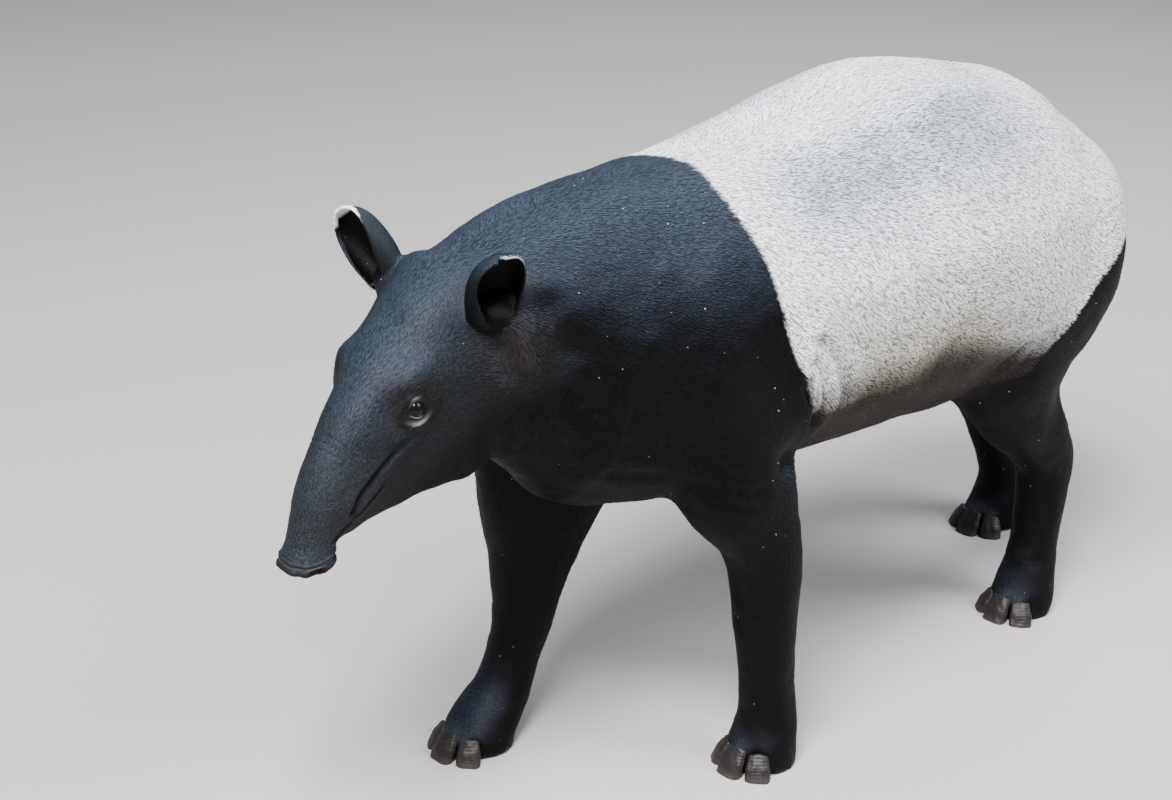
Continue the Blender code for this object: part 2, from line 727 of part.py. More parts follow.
def part_flesh(flesh, animal):
    """Divides the one skin into the parts a person would name. What is left is the barrel."""
    black = []
    for leg, (x, y) in FOOT_PLACES.items():
        sides = (0.0, FAR) if x > 0 else (-FAR, 0.0)
        low = (sides[0], y - 0.35, -0.1)
        high = (sides[1], y + 0.25, ANKLE_HEIGHT)
        black.append(carve_box(flesh, "foot_" + leg, low, high, animal))
    for side in ("left", "right"):
        black.append(carve_front_leg(flesh, side, animal))
    for side, sign in (("left", 1), ("right", -1)):
        low = (min(0.0, FAR * sign), 0.20, 0.0)
        high = (max(0.0, FAR * sign), FAR, HOCK_HEIGHT)
        black.append(carve_box(flesh, "leg_hind_" + side, low, high, animal))
    tail_end = slanted((0.0, RUMP_Y + 0.006, 0.80), 12.0)
    low, high = (-0.05, 0.0, -0.12), (0.05, 0.2, 0.08)
    black.append(carve_box(flesh, "tail", low, high, animal, tail_end))
    thigh = slanted((0.0, 0.45, 0.570), THIGH_SLOPE)
    for side, sign in (("left", 1), ("right", -1)):
        inner = 0.5 * GAP * sign
        low = (min(inner, FAR * sign), -0.16, -FAR)
        high = (max(inner, FAR * sign), FAR, 0.0)
        black.append(carve_box(flesh, "thigh_" + side, low, high, animal, thigh))
    black.append(carve_snout(flesh, animal))
    head = head_place()
    neck_end = head @ Matrix.Translation((0.0, 0.045, 0.04)) @ slanted((0, 0, 0), -24.0)
    low, high = (-0.3, -FAR, -FAR), (0.3, 0.0, 0.3)
    black.append(carve_box(flesh, "head", low, high, animal, neck_end))
    low, high = (-FAR, -FAR, -FAR), (FAR, 0.0, FAR)
    neck = slanted((0.0, NECK_START, 0.75), 14.0)
    black.append(carve_box(flesh, "neck", low, high, animal, neck))
    shoulder = slanted((0.0, SADDLE_FRONT, 0.75), SADDLE_SLOPE)
    black.append(carve_box(flesh, "forequarters", low, high, animal, shoulder))
    flesh.name = "barrel"
    return black


def centre_over_origin(animal):
    """Moves every part alike, so that the middle of the whole animal stands over the origin."""
    places = np.array([vert.co for obj in animal.objects for vert in obj.data.vertices])
    middle = 0.5 * (places.min(axis=0) + places.max(axis=0))
    for obj in animal.objects:
        obj.data.transform(Matrix.Translation((-middle[0], -middle[1], 0.0)))


def main():
    clear_scene()
    animal = new_collection("malayan_tapir")
    flesh = build_flesh(animal)
    ears = add_ears(flesh, animal)
    stand_on_floor(flesh, animal)
    eyes = add_eyes(flesh, animal)
    cut_mouth(flesh, animal)
    cut_nostrils(flesh, animal)
    hooves = add_hooves(flesh, animal)
    black_parts = part_flesh(flesh, animal)
    centre_over_origin(animal)
    finishes = (
        (material("black_hide", BLACK_HIDE, 0.6), black_parts + ears),
        (material("white_hide", WHITE_HIDE, 0.7), [flesh]),
        (material("hoof_horn", HOOF_HORN, 0.5), hooves),
        (material("eye", EYE_BROWN, 0.1), eyes),
    )
    for finish, objects in finishes:
        for obj in objects:
            obj.data.materials.clear()
            obj.data.materials.append(finish)


if __name__ == "__main__":
    main()
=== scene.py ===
"""Malayan tapir, still and life size: its skin, coat, eyes and hooves, and a plain studio.

It faces -Y, its left side is +X, and it stands on Z = 0. Lengths are in metres unless a name
says otherwise. Each piece has an operator of its own, and main runs them in order.
"""

import math

import bpy
import numpy as np
from mathutils import Matrix, Vector


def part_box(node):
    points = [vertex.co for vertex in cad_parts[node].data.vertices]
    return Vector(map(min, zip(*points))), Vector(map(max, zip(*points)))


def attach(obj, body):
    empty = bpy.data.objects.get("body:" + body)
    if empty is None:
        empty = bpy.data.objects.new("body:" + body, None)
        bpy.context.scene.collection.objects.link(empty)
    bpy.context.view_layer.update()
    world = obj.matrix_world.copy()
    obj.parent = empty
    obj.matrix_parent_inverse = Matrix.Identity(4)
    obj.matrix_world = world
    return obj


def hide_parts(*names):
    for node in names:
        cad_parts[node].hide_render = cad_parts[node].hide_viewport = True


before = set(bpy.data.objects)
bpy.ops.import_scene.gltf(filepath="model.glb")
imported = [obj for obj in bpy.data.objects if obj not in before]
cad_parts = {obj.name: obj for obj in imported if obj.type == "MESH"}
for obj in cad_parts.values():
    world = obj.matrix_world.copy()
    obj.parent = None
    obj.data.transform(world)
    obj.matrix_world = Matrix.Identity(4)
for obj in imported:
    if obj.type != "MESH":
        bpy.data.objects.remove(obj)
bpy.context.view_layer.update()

bl_info = {
    "name": "Malayan Tapir",
    "version": (1, 0, 0),
    "blender": (4, 5, 0),
    "location": "View3D > Sidebar > Tapir",
    "description": "Builds the skin, coat, eyes, hooves and studio of a life-size Malayan tapir",
    "category": "Add Mesh",
}

MM = 0.001

# The skin's triangles once it is thinned. A piece stays under 200,000.
SKIN_TRIANGLES = 192000

# How the head is held, in degrees, and the places on it: forward, left and up from the crown.
HEAD_TURN = (
    Matrix.Rotation(math.radians(6.0), 3, "Z")
    @ Matrix.Rotation(math.radians(47.0), 3, "X")
    @ Matrix.Rotation(math.radians(5.0), 3, "Y")
)
EYE_ON_HEAD = (0.157, 0.0665, -0.001)
EAR_ON_HEAD = (-0.008, 0.096, -0.014)
EAR_PATCH = (0.015, 0.135, -0.050)
SNOUT_END = (0.408, 0.0, -0.047)
SNOUT_POINTS = (HEAD_TURN @ Vector((0.0, -0.66, -0.75))).normalized()
SNOUT_ACROSS = HEAD_TURN @ Vector((1.0, 0.0, 0.0))
SNOUT_RIM = -0.0165

# Nothing behind this Y belongs to the head, and the trunk lies round this height.
HEAD_BACK = -0.45
TRUNK_MIDDLE = 0.74

# The mouth's line and the fold that runs back above its corner, as forward and up on the head.
MOUTH = ((0.372, -0.034), (0.340, -0.036), (0.312, -0.039), (0.268, -0.042))
CHEEK_FOLD = (
    (0.322, -0.028),
    (0.302, -0.019),
    (0.262, -0.017),
    (0.216, -0.018),
    (0.190, -0.026),
)

# The line of the flank's hollow, before the thigh on the left side, where shade is painted.
FLANK_HOLLOW = ((0.257, 0.165, 0.607), (0.250, 0.280, 0.588), (0.228, 0.370, 0.560))

EYE_CENTRES = {}
for side in ("left", "right"):
    low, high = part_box("eye_" + side)
    EYE_CENTRES[side] = (low + high) / 2
EYE_RADIUS = (high.x - low.x) / 2
CROWN = (EYE_CENTRES["left"] + EYE_CENTRES["right"]) / 2 - HEAD_TURN @ Vector(
    (0.0, -EYE_ON_HEAD[0], EYE_ON_HEAD[2])
)
SIGNS = {"left": 1.0, "right": -1.0}

# The ears: how they lean outwards, forwards and up, where they open to, in degrees from
# straight ahead, and how far from an ear's own line its hair and its flesh may lie.
EAR_LENGTH = {"left": 0.114, "right": 0.122}
EAR_WIDTH = 0.086
EAR_LEAN = {"left": (0.040, 0.030, 0.100), "right": (0.075, 0.020, 0.100)}
EAR_OPENS = {"left": 80.0, "right": 12.0}
EAR_REACH = 0.065
EAR_RADIUS = 0.055

# An ear's curl: its depth as a share of its half width, and how far its tip bends out.
EAR_DEPTH = 0.72
EAR_BEND = 0.012

# Where the saddle begins behind the shoulder, as Z and Y, and its lower edge, as Y and Z.
SADDLE_FRONT = (
    (0.45, -0.058),
    (0.55, -0.088),
    (0.60, -0.110),
    (0.64, -0.120),
    (0.68, -0.139),
    (0.72, -0.165),
    (0.78, -0.184),
    (0.88, -0.197),
    (0.93, -0.205),
    (0.962, -0.203),
    (0.985, -0.178),
    (1.02, -0.150),
)
SADDLE_EDGE = (
    (0.28, 0.400),
    (0.36, 0.520),
    (0.44, 0.544),
    (0.48, 0.580),
    (0.515, 0.624),
    (0.555, 0.678),
    (0.60, 0.707),
    (0.65, 0.731),
    (0.74, 0.745),
    (0.82, 0.700),
)


def srgb(code):
    """The linear colour of an sRGB hex value."""
    shares = (int(code[i : i + 2], 16) / 255.0 for i in (1, 3, 5))
    return tuple(s / 12.92 if s <= 0.04045 else ((s + 0.055) / 1.055) ** 2.4 for s in shares)


def length_property(name, description, default):
    return bpy.props.FloatProperty(
        name=name, description=description, default=default, min=0.0, unit="LENGTH", precision=4
    )


def colour_property(name, description, code):
    return bpy.props.FloatVectorProperty(
        name=name, description=description, default=srgb(code), min=0.0, max=1.0, subtype="COLOR"
    )


class TapirSizes(bpy.types.PropertyGroup):
    skin_grain: length_property("Skin Grain", "Spacing of points on the trunk's skin", 0.0085)
    coat_depth: length_property("Coat Depth", "How deep the skin lies in the coat", 0.003)
    trunk_hair: length_property("Trunk Hair", "Length of a tuft on the trunk", 0.0100)
    leg_hair: length_property("Leg Hair", "Length of a tuft on the legs", 0.0095)
    head_hair: length_property("Head Hair", "Length of a tuft on the head", 0.0070)
    snout_hair: length_property("Snout Hair", "Length of a tuft on the snout", 0.0045)
    ear_hair: length_property("Ear Hair", "Length of a tuft on the ears", 0.0050)
    hair_width: length_property("Tuft Width", "Width of a tuft on the trunk at its root", 0.0013)
    hair_gap: length_property("Tuft Spacing", "Distance between tufts on the trunk", 0.0029)


class TapirColours(bpy.types.PropertyGroup):
    black: colour_property("Black Coat", "Coat of the head, shoulders and legs", "#040405")
    # Painted reflection: the black coat is painted blue-grey where it faces up, for the sky that it
    # reflects.
    sky_reflection: colour_property("Painted Sky Reflection", "Where the black coat faces the sky", "#2a333f")
    # Painted sheen: sky light on the snout's sides and the cheeks, painted in grey.
    sheen: colour_property("Grey Sheen", "Sides of the snout and the cheeks", "#33373a")
    # Painted shade: the low neck and legs are painted a shaded brown-black.
    shade_brown: colour_property("Shaded Brown", "Low on the neck and legs", "#080605")
    brown: colour_property("Brown Hair", "Under the ears and round the eyes", "#1f1917")
    white: colour_property("White Coat", "The saddle", "#f3f4f5")
    # Painted shade: the saddle is painted blue-grey where the back slopes away from the spine's
    # ridge.
    slope_shade: colour_property("Painted Slope Shade", "The saddle beside the spine", "#99a3ae")
    # The saddle is painted a darker cream lower on the flank.
    cream: colour_property("Low Flank Cream", "The saddle low on the flank", "#998d6e")
    # Painted shade: the saddle is painted dark brown-grey under the belly, where shade falls.
    belly: colour_property("Painted Belly Shade", "The saddle under the belly", "#2e2720")
    # Thin coat, and painted shade in the flank's hollow before the stifle.
    hollow: colour_property("Flank Hollow", "Thin coat and painted shade in front of the stifle", "#343a3d")
    bare: colour_property("Bare Skin", "Pale lids and the snout's rim", "#9b9896")
    horn: colour_property("Hoof Horn", "The hooves", "#211d1b")
    iris: colour_property("Iris", "The ring round the pupil", "#0e0a0c")
    floor: colour_property("Floor", "The studio floor", "#a6a39e")


def deselect():
    for obj in bpy.context.selected_objects:
        obj.select_set(False)


def make_active(obj):
    deselect()
    obj.select_set(True)
    bpy.context.view_layer.objects.active = obj


def link_object(name, data):
    made = bpy.data.objects.new(name, data)
    bpy.context.scene.collection.objects.link(made)
    return made


def edit_mesh(*steps):
    """Runs mesh operators in edit mode, each with its settings."""
    bpy.ops.object.mode_set(mode="EDIT")
    for operator, settings in steps:
        operator(**settings)
    bpy.ops.object.mode_set(mode="OBJECT")


def apply_modifier(obj, kind, **settings):
    make_active(obj)
    made = obj.modifiers.new(kind, kind)
    for key, value in settings.items():
        setattr(made, key, value)
    bpy.ops.object.modifier_apply(modifier=made.name)


def merged_copy(nodes, name):
    """Copies of CAD nodes in one mesh, with their loose triangles merged."""
    copies = []
    for node in nodes:
        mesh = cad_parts[node].data.copy()
        mesh.materials.clear()
        copies.append(link_object("copy", mesh))
    make_active(copies[0])
    for copy in copies[1:]:
        copy.select_set(True)
    if len(copies) > 1:
        bpy.ops.object.join()
    copies[0].name = name
    edit_mesh(
        (bpy.ops.mesh.select_all, {"action": "SELECT"}),
        (bpy.ops.mesh.remove_doubles, {"threshold": 0.01 * MM}),
        (bpy.ops.mesh.normals_make_consistent, {"inside": False}),
    )
    return copies[0]


def read(items, key, width=1, kind=np.float32):
    """What a mesh's items hold under a key: one value, or one row of several, for each."""
    flat = np.empty(len(items) * width, kind)
    items.foreach_get(key, flat)
    return flat.reshape(-1, width) if width > 1 else flat


def places_of(mesh):
    return read(mesh.vertices, "co", 3).astype(float)


def normals_of(mesh):
    return read(mesh.vertex_normals, "vector", 3).astype(float)


def put_places(mesh, places):
    mesh.vertices.foreach_set("co", places.astype(np.float32).ravel())
    mesh.update()


def smooth(mesh):
    mesh.polygons.foreach_set("use_smooth", np.ones(len(mesh.polygons), bool))


def keep_largest(obj):
    """Drops every loose surface but the largest."""
    edges = read(obj.data.edges, "vertices", 2, np.int32)
    labels = np.arange(len(obj.data.vertices))
    while True:
        lowest = labels.copy()
        np.minimum.at(lowest, edges[:, 0], labels[edges[:, 1]])
        np.minimum.at(lowest, edges[:, 1], labels[edges[:, 0]])
        lowest = lowest[lowest]
        if (lowest == labels).all():
            break
        labels = lowest
    kept = np.bincount(labels).argmax()
    if (labels == kept).all():
        return
    make_active(obj)
    edit_mesh((bpy.ops.mesh.select_mode, {"type": "VERT"}))
    obj.data.vertices.foreach_set("select", labels != kept)
    edit_mesh((bpy.ops.mesh.delete, {"type": "VERT"}))


def relax(obj, shares, rounds, inflate=0.53):
    """Evens the surface where shares are above zero. Inflate gives back the size that is lost."""
    mesh = obj.data
    edges = read(mesh.edges, "vertices", 2, np.int32)
    count = len(mesh.vertices)
    ends = np.concatenate([edges[:, 0], edges[:, 1]])
    others = np.concatenate([edges[:, 1], edges[:, 0]])
    degree = np.maximum(np.bincount(ends, minlength=count), 1)
    places = places_of(mesh)
    for _ in range(rounds):
        for step in (0.5, -inflate) if inflate else (0.5,):
            middle = np.stack(
                [np.bincount(ends, places[others, k], count) for k in range(3)], axis=1
            )
            middle /= degree[:, None]
            places += step * shares[:, None] * (middle - places)
    put_places(mesh, places)


def refine(obj, wanted):
    """Splits every face whose corners are all wanted into four."""
    make_active(obj)
    mesh = obj.data
    starts = read(mesh.polygons, "loop_start", kind=np.int32)
    corners = read(mesh.loops, "vertex_index", kind=np.int32)
    chosen = np.minimum.reduceat(wanted[corners].astype(int), starts).astype(bool)
    edit_mesh(
        (bpy.ops.mesh.select_mode, {"type": "FACE"}),
        (bpy.ops.mesh.select_all, {"action": "DESELECT"}),
    )
    mesh.polygons.foreach_set("select", chosen)
    edit_mesh((bpy.ops.mesh.subdivide, {"number_cuts": 1}))


def thin_out(obj, kept, triangles):
    """Thins the mesh to this many triangles, the flattest parts first, and leaves what is kept."""
    group = obj.vertex_groups.new(name="thinned")
    group.add(np.flatnonzero(~kept).tolist(), 1.0, "REPLACE")
    count = sum(len(face.vertices) - 2 for face in obj.data.polygons)
    share = min(1.0, triangles / count)
    apply_modifier(obj, "DECIMATE", ratio=share, vertex_group=group.name)
    obj.vertex_groups.clear()


def ramp(values, start, end):
    """0 before start, 1 after end, and an even curve between them."""
    t = np.clip((values - start) / (end - start), 0.0, 1.0)
    return t * t * (3.0 - 2.0 * t)


def lumps(places, size, seed):
    """A smooth random field of about -1 to 1, whose lumps are about this size."""
    draw = np.random.default_rng(seed)
    total = np.zeros(len(places))
    for _ in range(14):
        direction = draw.normal(size=3)
        direction *= 2.0 * math.pi / (size * draw.uniform(0.8, 2.0) * np.linalg.norm(direction))
        total += np.sin(places @ direction + draw.uniform(0.0, 2.0 * math.pi))
    return total / 4.0


def to_point(places, point):
    """How far each place is from a point."""
    return np.linalg.norm(places - np.array(point), axis=1)


def to_eyes(places):
    """How far each place is from the nearer eye."""
    return np.min([to_point(places, centre) for centre in EYE_CENTRES.values()], axis=0)


def to_segment(places, start, end):
    """How far each place is from a straight line between two points, and its share along it."""
    start, end = np.array(start, float), np.array(end, float)
    along = np.clip((places - start) @ (end - start) / ((end - start) @ (end - start)), 0.0, 1.0)
    return np.linalg.norm(places - start - along[:, None] * (end - start), axis=1), along


def to_line(places, points):
    """How far each place is from a line through several points."""
    return np.min([to_segment(places, a, b)[0] for a, b in zip(points, points[1:])], axis=0)


def head_frame(places):
    """Places as forward, left and up from the crown."""
    turned = (places - np.array(CROWN)) @ np.array(HEAD_TURN)
    return -turned[:, 1], turned[:, 0], turned[:, 2]


def on_head(forward, left, up):
    return CROWN + HEAD_TURN @ Vector((left, -forward, up))


def ear_frame(side):
    """The ear's root, and its axes: across it, out of its opening and along it."""
    ahead = Vector((math.sin(math.radians(6.0)), -math.cos(math.radians(6.0)), 0.0))
    outward = Vector((-ahead.y, ahead.x, 0.0)) * SIGNS[side]
    aside, forth, rise = EAR_LEAN[side]
    along = (outward * aside + ahead * forth + Vector((0, 0, rise))).normalized()
    opens = math.radians(EAR_OPENS[side])
    out = ahead * math.cos(opens) + outward * math.sin(opens)
    out = (out - along * out.dot(along)).normalized()
    forward, left, up = EAR_ON_HEAD
    return on_head(forward, left * SIGNS[side], up), out.cross(along), out, along


def in_ear(side, places):
    """Places in the ear's own frame: across it, out of its opening, and its share of the length."""
    root, across, out, along = ear_frame(side)
    local = (places - np.array(root)) @ np.array([across, out, along]).T
    return local[:, 0], local[:, 1], local[:, 2] / EAR_LENGTH[side]


def on_ear(side, places, start, end):
    """1 on an ear and 0 off it, rising between two shares of its length."""
    across, out, t = in_ear(side, places)
    return (np.hypot(across, out) < EAR_REACH) * ramp(t, start, end)


def under_ears(places, reach):
    """1 on the patch of longer hair below each ear, one row for each side."""
    forward, left, up = EAR_PATCH
    patches = (on_head(forward, left * sign, up) for sign in SIGNS.values())
    return [bump_at(to_point(places, patch), 0.0, reach) for patch in patches]


def ear_half_width(t):
    leaf = 0.50 + 0.50 * math.sin(math.pi * (0.22 + 0.58 * min(t, 0.6)))
    tip = max((t - 0.55) / 0.45, 0.0)
    return 0.5 * EAR_WIDTH * leaf * math.sqrt(max(1.0 - 0.985 * tip**2.4, 0.0))


def ear_spread(t):
    """How far round an ear's rims reach from the middle of its back, at a share of its length."""
    return np.radians(150.0 - 62.0 * t)


def ear_shell(side):
    """One ear: a leaf curled round its own length, with a thicker root and a rounded rim."""
    rows, columns = 20, 24
    root, across, out, along = ear_frame(side)
    points, faces = [], []
    for i in range(rows + 1):
        t = i / rows
        half_width = ear_half_width(t)
        spread = ear_spread(t)
        for k in range(columns + 1):
            angle = spread * (2.0 * k / columns - 1.0)
            flare = 1.0 + 0.10 * t * abs(2.0 * k / columns - 1.0) ** 6
            x = half_width * flare * math.sin(angle)
            y = -EAR_DEPTH * half_width * math.cos(angle) + EAR_BEND * t * t
            z = EAR_LENGTH[side] * (t + 0.02 * math.sin(3.0 * angle) * t * (1.0 - t))
            points.append(root + across * x + out * y + along * z)
    for i in range(rows):
        for k in range(columns):
            a = i * (columns + 1) + k
            faces.append((a, a + 1, a + columns + 2, a + columns + 1))
    mesh = bpy.data.meshes.new("ear")
    mesh.from_pydata(points, [], faces)
    ear = link_object("ear_shell_" + side, mesh)
    apply_modifier(ear, "SOLIDIFY", thickness=3.6 * MM, offset=0.0, use_even_offset=True)
    apply_modifier(ear, "SUBSURF", levels=1, render_levels=1)
    edit_mesh(
        (bpy.ops.mesh.select_all, {"action": "SELECT"}),
        (bpy.ops.mesh.normals_make_consistent, {"inside": False}),
    )
    return ear


def eye_axes(side):
    """Axes of an eye's opening: along it towards the snout, across it upwards, and out."""
    sign = SIGNS[side]
    out = (HEAD_TURN @ Vector((0.97 * sign, -0.07, 0.34))).normalized()
    forward = HEAD_TURN @ Vector((0.0, -0.78, 0.62))
    along = (forward - out * forward.dot(out)).normalized()
    return along, along.cross(out) * sign, out


def around_eye(places, side):
    """How far places lie round an eye's opening, in openings, and their offsets in its axes."""
    axes = np.array(eye_axes(side))
    ahead, rise, out = ((places - np.array(EYE_CENTRES[side])) @ axes.T).T
    # The front corner is drawn out, and the upper lid arches a little more than the lower one.
    wide = np.where(ahead > 0, 13.6, 12.2) * MM
    high = np.where(rise > 0, 12.0, 11.2) * MM
    power = np.where(ahead > 0, 1.6, 2.1)
    share = (np.abs(ahead / wide) ** power + np.abs(rise / high) ** power) ** (1.0 / power)
    return share, ahead, rise, out


def bump_at(values, middle, width):
    """1 where values equal middle, falling evenly to 0 within about twice the width."""
    return np.exp(-(((values - middle) / width) ** 2))


def sculpt_eye(places, side):
    """Lids over the eyeball: a round opening with thin rims, a crease above and a pouch below."""
    share, _, rise, out = around_eye(places, side)
    offsets = places - np.array(EYE_CENTRES[side])
    radius = np.linalg.norm(offsets, axis=1)
    near = (radius < 0.070) & (out > -4.0 * MM)
    sunk, rim = EYE_RADIUS - 2.6 * MM, EYE_RADIUS + 1.7 * MM
    target = sunk + (rim - sunk) * ramp(share, 0.95, 1.11)
    height = (1.0 - ramp(share, 1.15, 1.55)) * (target - radius)
    upper = ramp(rise, -3.0 * MM, 3.0 * MM)
    above = 1.4 * bump_at(share, 1.80, 0.22) - 1.4 * bump_at(share, 1.42, 0.09)
    below = 1.7 * bump_at(share, 2.10, 0.36) - 1.2 * bump_at(share, 1.36, 0.09)
    below -= 1.5 * bump_at(share, 2.75, 0.20)
    height += MM * (upper * above + (1.0 - upper) * below)
    return places + (near * height / radius)[:, None] * offsets


def sculpt_head(places):
    """The line of the mouth, lips, nostrils, and the folds of the snout and cheeks."""
    forward, left, up = head_frame(places)
    side = np.abs(left)
    flat = np.stack([forward, up], axis=1)

    # The mouth runs along both sides and round the front, and a deep fold goes on behind it.
    gap = to_line(flat, MOUTH)
    height = -4.0 * MM * bump_at(gap, 0.0, 1.9 * MM)
    height += 1.3 * MM * bump_at(gap, 6.0 * MM, 3.5 * MM)
    gap = to_line(flat, CHEEK_FOLD)
    beside = ramp(side, 0.010, 0.025)
    height -= beside * ramp(forward, 0.180, 0.250) * 6.0 * MM * bump_at(gap, 0.0, 5.0 * MM)
    height += beside * 1.6 * MM * bump_at(gap, 11.0 * MM, 6.0 * MM)

    # A few cross wrinkles lie over the bridge of the snout, and slanting ones on its sides.
    bridge = bump_at(forward, 0.262, 0.022) * ramp(up, 0.010, 0.035)
    wave = np.sin(forward * 2.0 * math.pi / 0.0085 + 1.6 * lumps(places, 0.05, 3))
    height += bridge * 0.40 * MM * wave
    trunk = ramp(forward, 0.27, 0.32)
    wave = np.sin(forward * 2.0 * math.pi / 0.0062 + 2.5 * lumps(places, 0.03, 12))
    height += trunk * 0.16 * MM * wave
    height += ramp(forward, 0.16, 0.25) * 0.45 * MM * lumps(places, 0.022, 4)
    cheek = bump_at(forward, 0.235, 0.05) * bump_at(up, 0.0, 0.025)
    slant = np.sin((forward + 1.4 * up) * 2.0 * math.pi / 0.013 + 1.5 * lumps(places, 0.06, 5))
    height += cheek * 0.35 * MM * slant

    # A brow stands over each eye, with hollows before it and behind the pouch of the lower lid.
    for centre, radius, rise in (
        ((0.128, 0.074, 0.034), 0.024, 2.5),
        ((0.185, 0.058, 0.030), 0.026, -3.5),
        ((0.175, 0.080, -0.050), 0.022, -3.5),
        ((0.120, 0.090, -0.090), 0.050, 3.0),
    ):
        away = to_point(np.stack([forward, side, up], axis=1), centre)
        height += rise * MM * bump_at(away, 0.0, radius)

    # The snout's bare end lies under a raised rim, with a nostril on either side.
    deep, near = on_pad(places)[2:]
    height += near * 2.0 * MM * bump_at(deep, SNOUT_RIM - 1.5 * MM, 2.4 * MM)
    height += near * 5.0 * MM * ramp(deep, SNOUT_RIM + 3.0 * MM, SNOUT_RIM + 9.0 * MM)
    hole = nostril(places)
    height -= 8.0 * MM * (1.0 - ramp(hole, 0.55, 1.05))
    height += 1.0 * MM * bump_at(hole, 1.25, 0.2)
    return height


FOLDS = (
    # line on the left side, half width and depth: two folds of the throat, the neck's sides,
    # the shoulder, the chest, three behind the elbow, the flank, the stifle and the buttock
    (
        (
            (0.112, -0.622, 0.810), (0.125, -0.602, 0.759), (0.121, -0.593, 0.719),
            (0.100, -0.590, 0.672), (0.060, -0.575, 0.630),
        ),
        0.016,
        0.007,
    ),
    (
        (
            (0.132, -0.553, 0.858), (0.149, -0.552, 0.806), (0.142, -0.565, 0.740),
            (0.138, -0.542, 0.684), (0.128, -0.511, 0.627), (0.106, -0.497, 0.584),
        ),
        0.022,
        0.007,
    ),
    (((0.175, -0.420, 0.900), (0.215, -0.380, 0.760), (0.220, -0.360, 0.620)), 0.03, 0.003),
    (((0.150, -0.430, 0.575), (0.200, -0.335, 0.545), (0.256, -0.238, 0.520)), 0.014, 0.003),
    (
        (
            (0.252, -0.140, 0.680), (0.249, -0.131, 0.655), (0.244, -0.116, 0.625),
            (0.232, -0.103, 0.590),
        ),
        0.008,
        0.0065,
    ),
    (
        (
            (0.256, -0.117, 0.733), (0.260, -0.087, 0.700), (0.257, -0.062, 0.663),
            (0.251, -0.046, 0.630),
        ),
        0.013,
        0.008,
    ),
    (
        (
            (0.255, -0.128, 0.708), (0.254, -0.104, 0.673), (0.249, -0.096, 0.640),
            (0.239, -0.098, 0.610), (0.226, -0.098, 0.578),
        ),
        0.01,
        0.0075,
    ),
    (((0.254, 0.158, 0.606), (0.268, 0.182, 0.648), (0.275, 0.200, 0.685)), 0.022, 0.0035),
    (((0.250, 0.400, 0.600), (0.225, 0.372, 0.550), (0.190, 0.350, 0.510)), 0.012, 0.005),
    (((0.080, 0.790, 0.800), (0.100, 0.800, 0.700), (0.080, 0.760, 0.600)), 0.02, 0.005),
)
CREASED = (
    # middle on the left side of skin that creases as it bends, its radius, and the spacing
    # and depth of the creases
    ((0.245, -0.165, 0.548), 0.045, 0.019, 0.0014),
    ((0.190, -0.145, 0.150), 0.050, 0.012, 0.0008),
    ((0.150, -0.395, 0.150), 0.050, 0.012, 0.0008),
    ((0.133, 0.640, 0.130), 0.050, 0.012, 0.0008),
    ((0.135, 0.880, 0.140), 0.050, 0.012, 0.0008),
)
MUSCLES = (
    # middle on the left side, radius and rise: hollows fall
    ((0.275, 0.200, 0.655), 0.085, -0.008),
    ((0.225, 0.340, 0.575), 0.055, -0.008),
    ((0.215, 0.470, 0.870), 0.110, 0.005),
    ((0.240, 0.440, 0.690), 0.090, 0.006),
    ((0.190, -0.400, 0.800), 0.070, 0.005),
    ((0.215, -0.330, 0.690), 0.080, 0.005),
    ((0.262, -0.010, 0.600), 0.050, -0.005),
    ((0.157, -0.518, 0.795), 0.038, -0.009),
    ((0.172, -0.490, 0.745), 0.040, -0.004),
    ((0.248, -0.161, 0.552), 0.029, -0.019),
    ((0.165, -0.080, 0.510), 0.055, -0.012),
    ((0.262, 0.225, 0.620), 0.045, -0.010),
    ((0.215, 0.585, 0.450), 0.050, -0.014),
    ((0.020, 0.250, 1.045), 0.130, 0.008),
    ((0.070, 0.475, 1.025), 0.075, -0.014),
    ((0.238, -0.140, 0.605), 0.030, 0.005),
)


def mirrored(places):
    """Places with those of the right side put on the left."""
    return np.column_stack([np.abs(places[:, 0]), places[:, 1:]])


def sculpt_body(places):
    """Hollows, folds and muscles of the neck, trunk and legs."""
    left = mirrored(places)
    height = np.zeros(len(places))
    for centre, radius, rise in MUSCLES:
        height += rise * bump_at(to_point(left, centre), 0.0, radius)
    for points, width, depth in FOLDS:
        gap = to_line(left, points)
        height -= depth * bump_at(gap, 0.0, width)
        height += 0.4 * depth * bump_at(gap, 1.9 * width, width)
    for centre, radius, spacing, depth in CREASED:
        near = bump_at(to_point(left, centre), 0.0, radius)
        wave = np.sin(places[:, 2] * 2.0 * math.pi / spacing + 2.0 * lumps(places, 0.07, 6))
        height += near * depth * wave
    height += 1.6 * MM * lumps(places, 0.11, 7) + 0.5 * MM * lumps(places, 0.035, 8)
    return height


def body_parts(places):
    """How much each place belongs to the head, the snout, the legs and the feet."""
    forward = head_frame(places)[0]
    in_front = (places[:, 1] < HEAD_BACK) * (places[:, 2] > 0.45)
    head = ramp(forward, -0.06, 0.03) * in_front
    snout = ramp(forward, 0.20, 0.29) * in_front
    legs = ramp(-places[:, 2], -0.52, -0.42) * (1.0 - head)
    feet = ramp(-places[:, 2], -0.16, -0.09)
    return head, snout, legs, feet


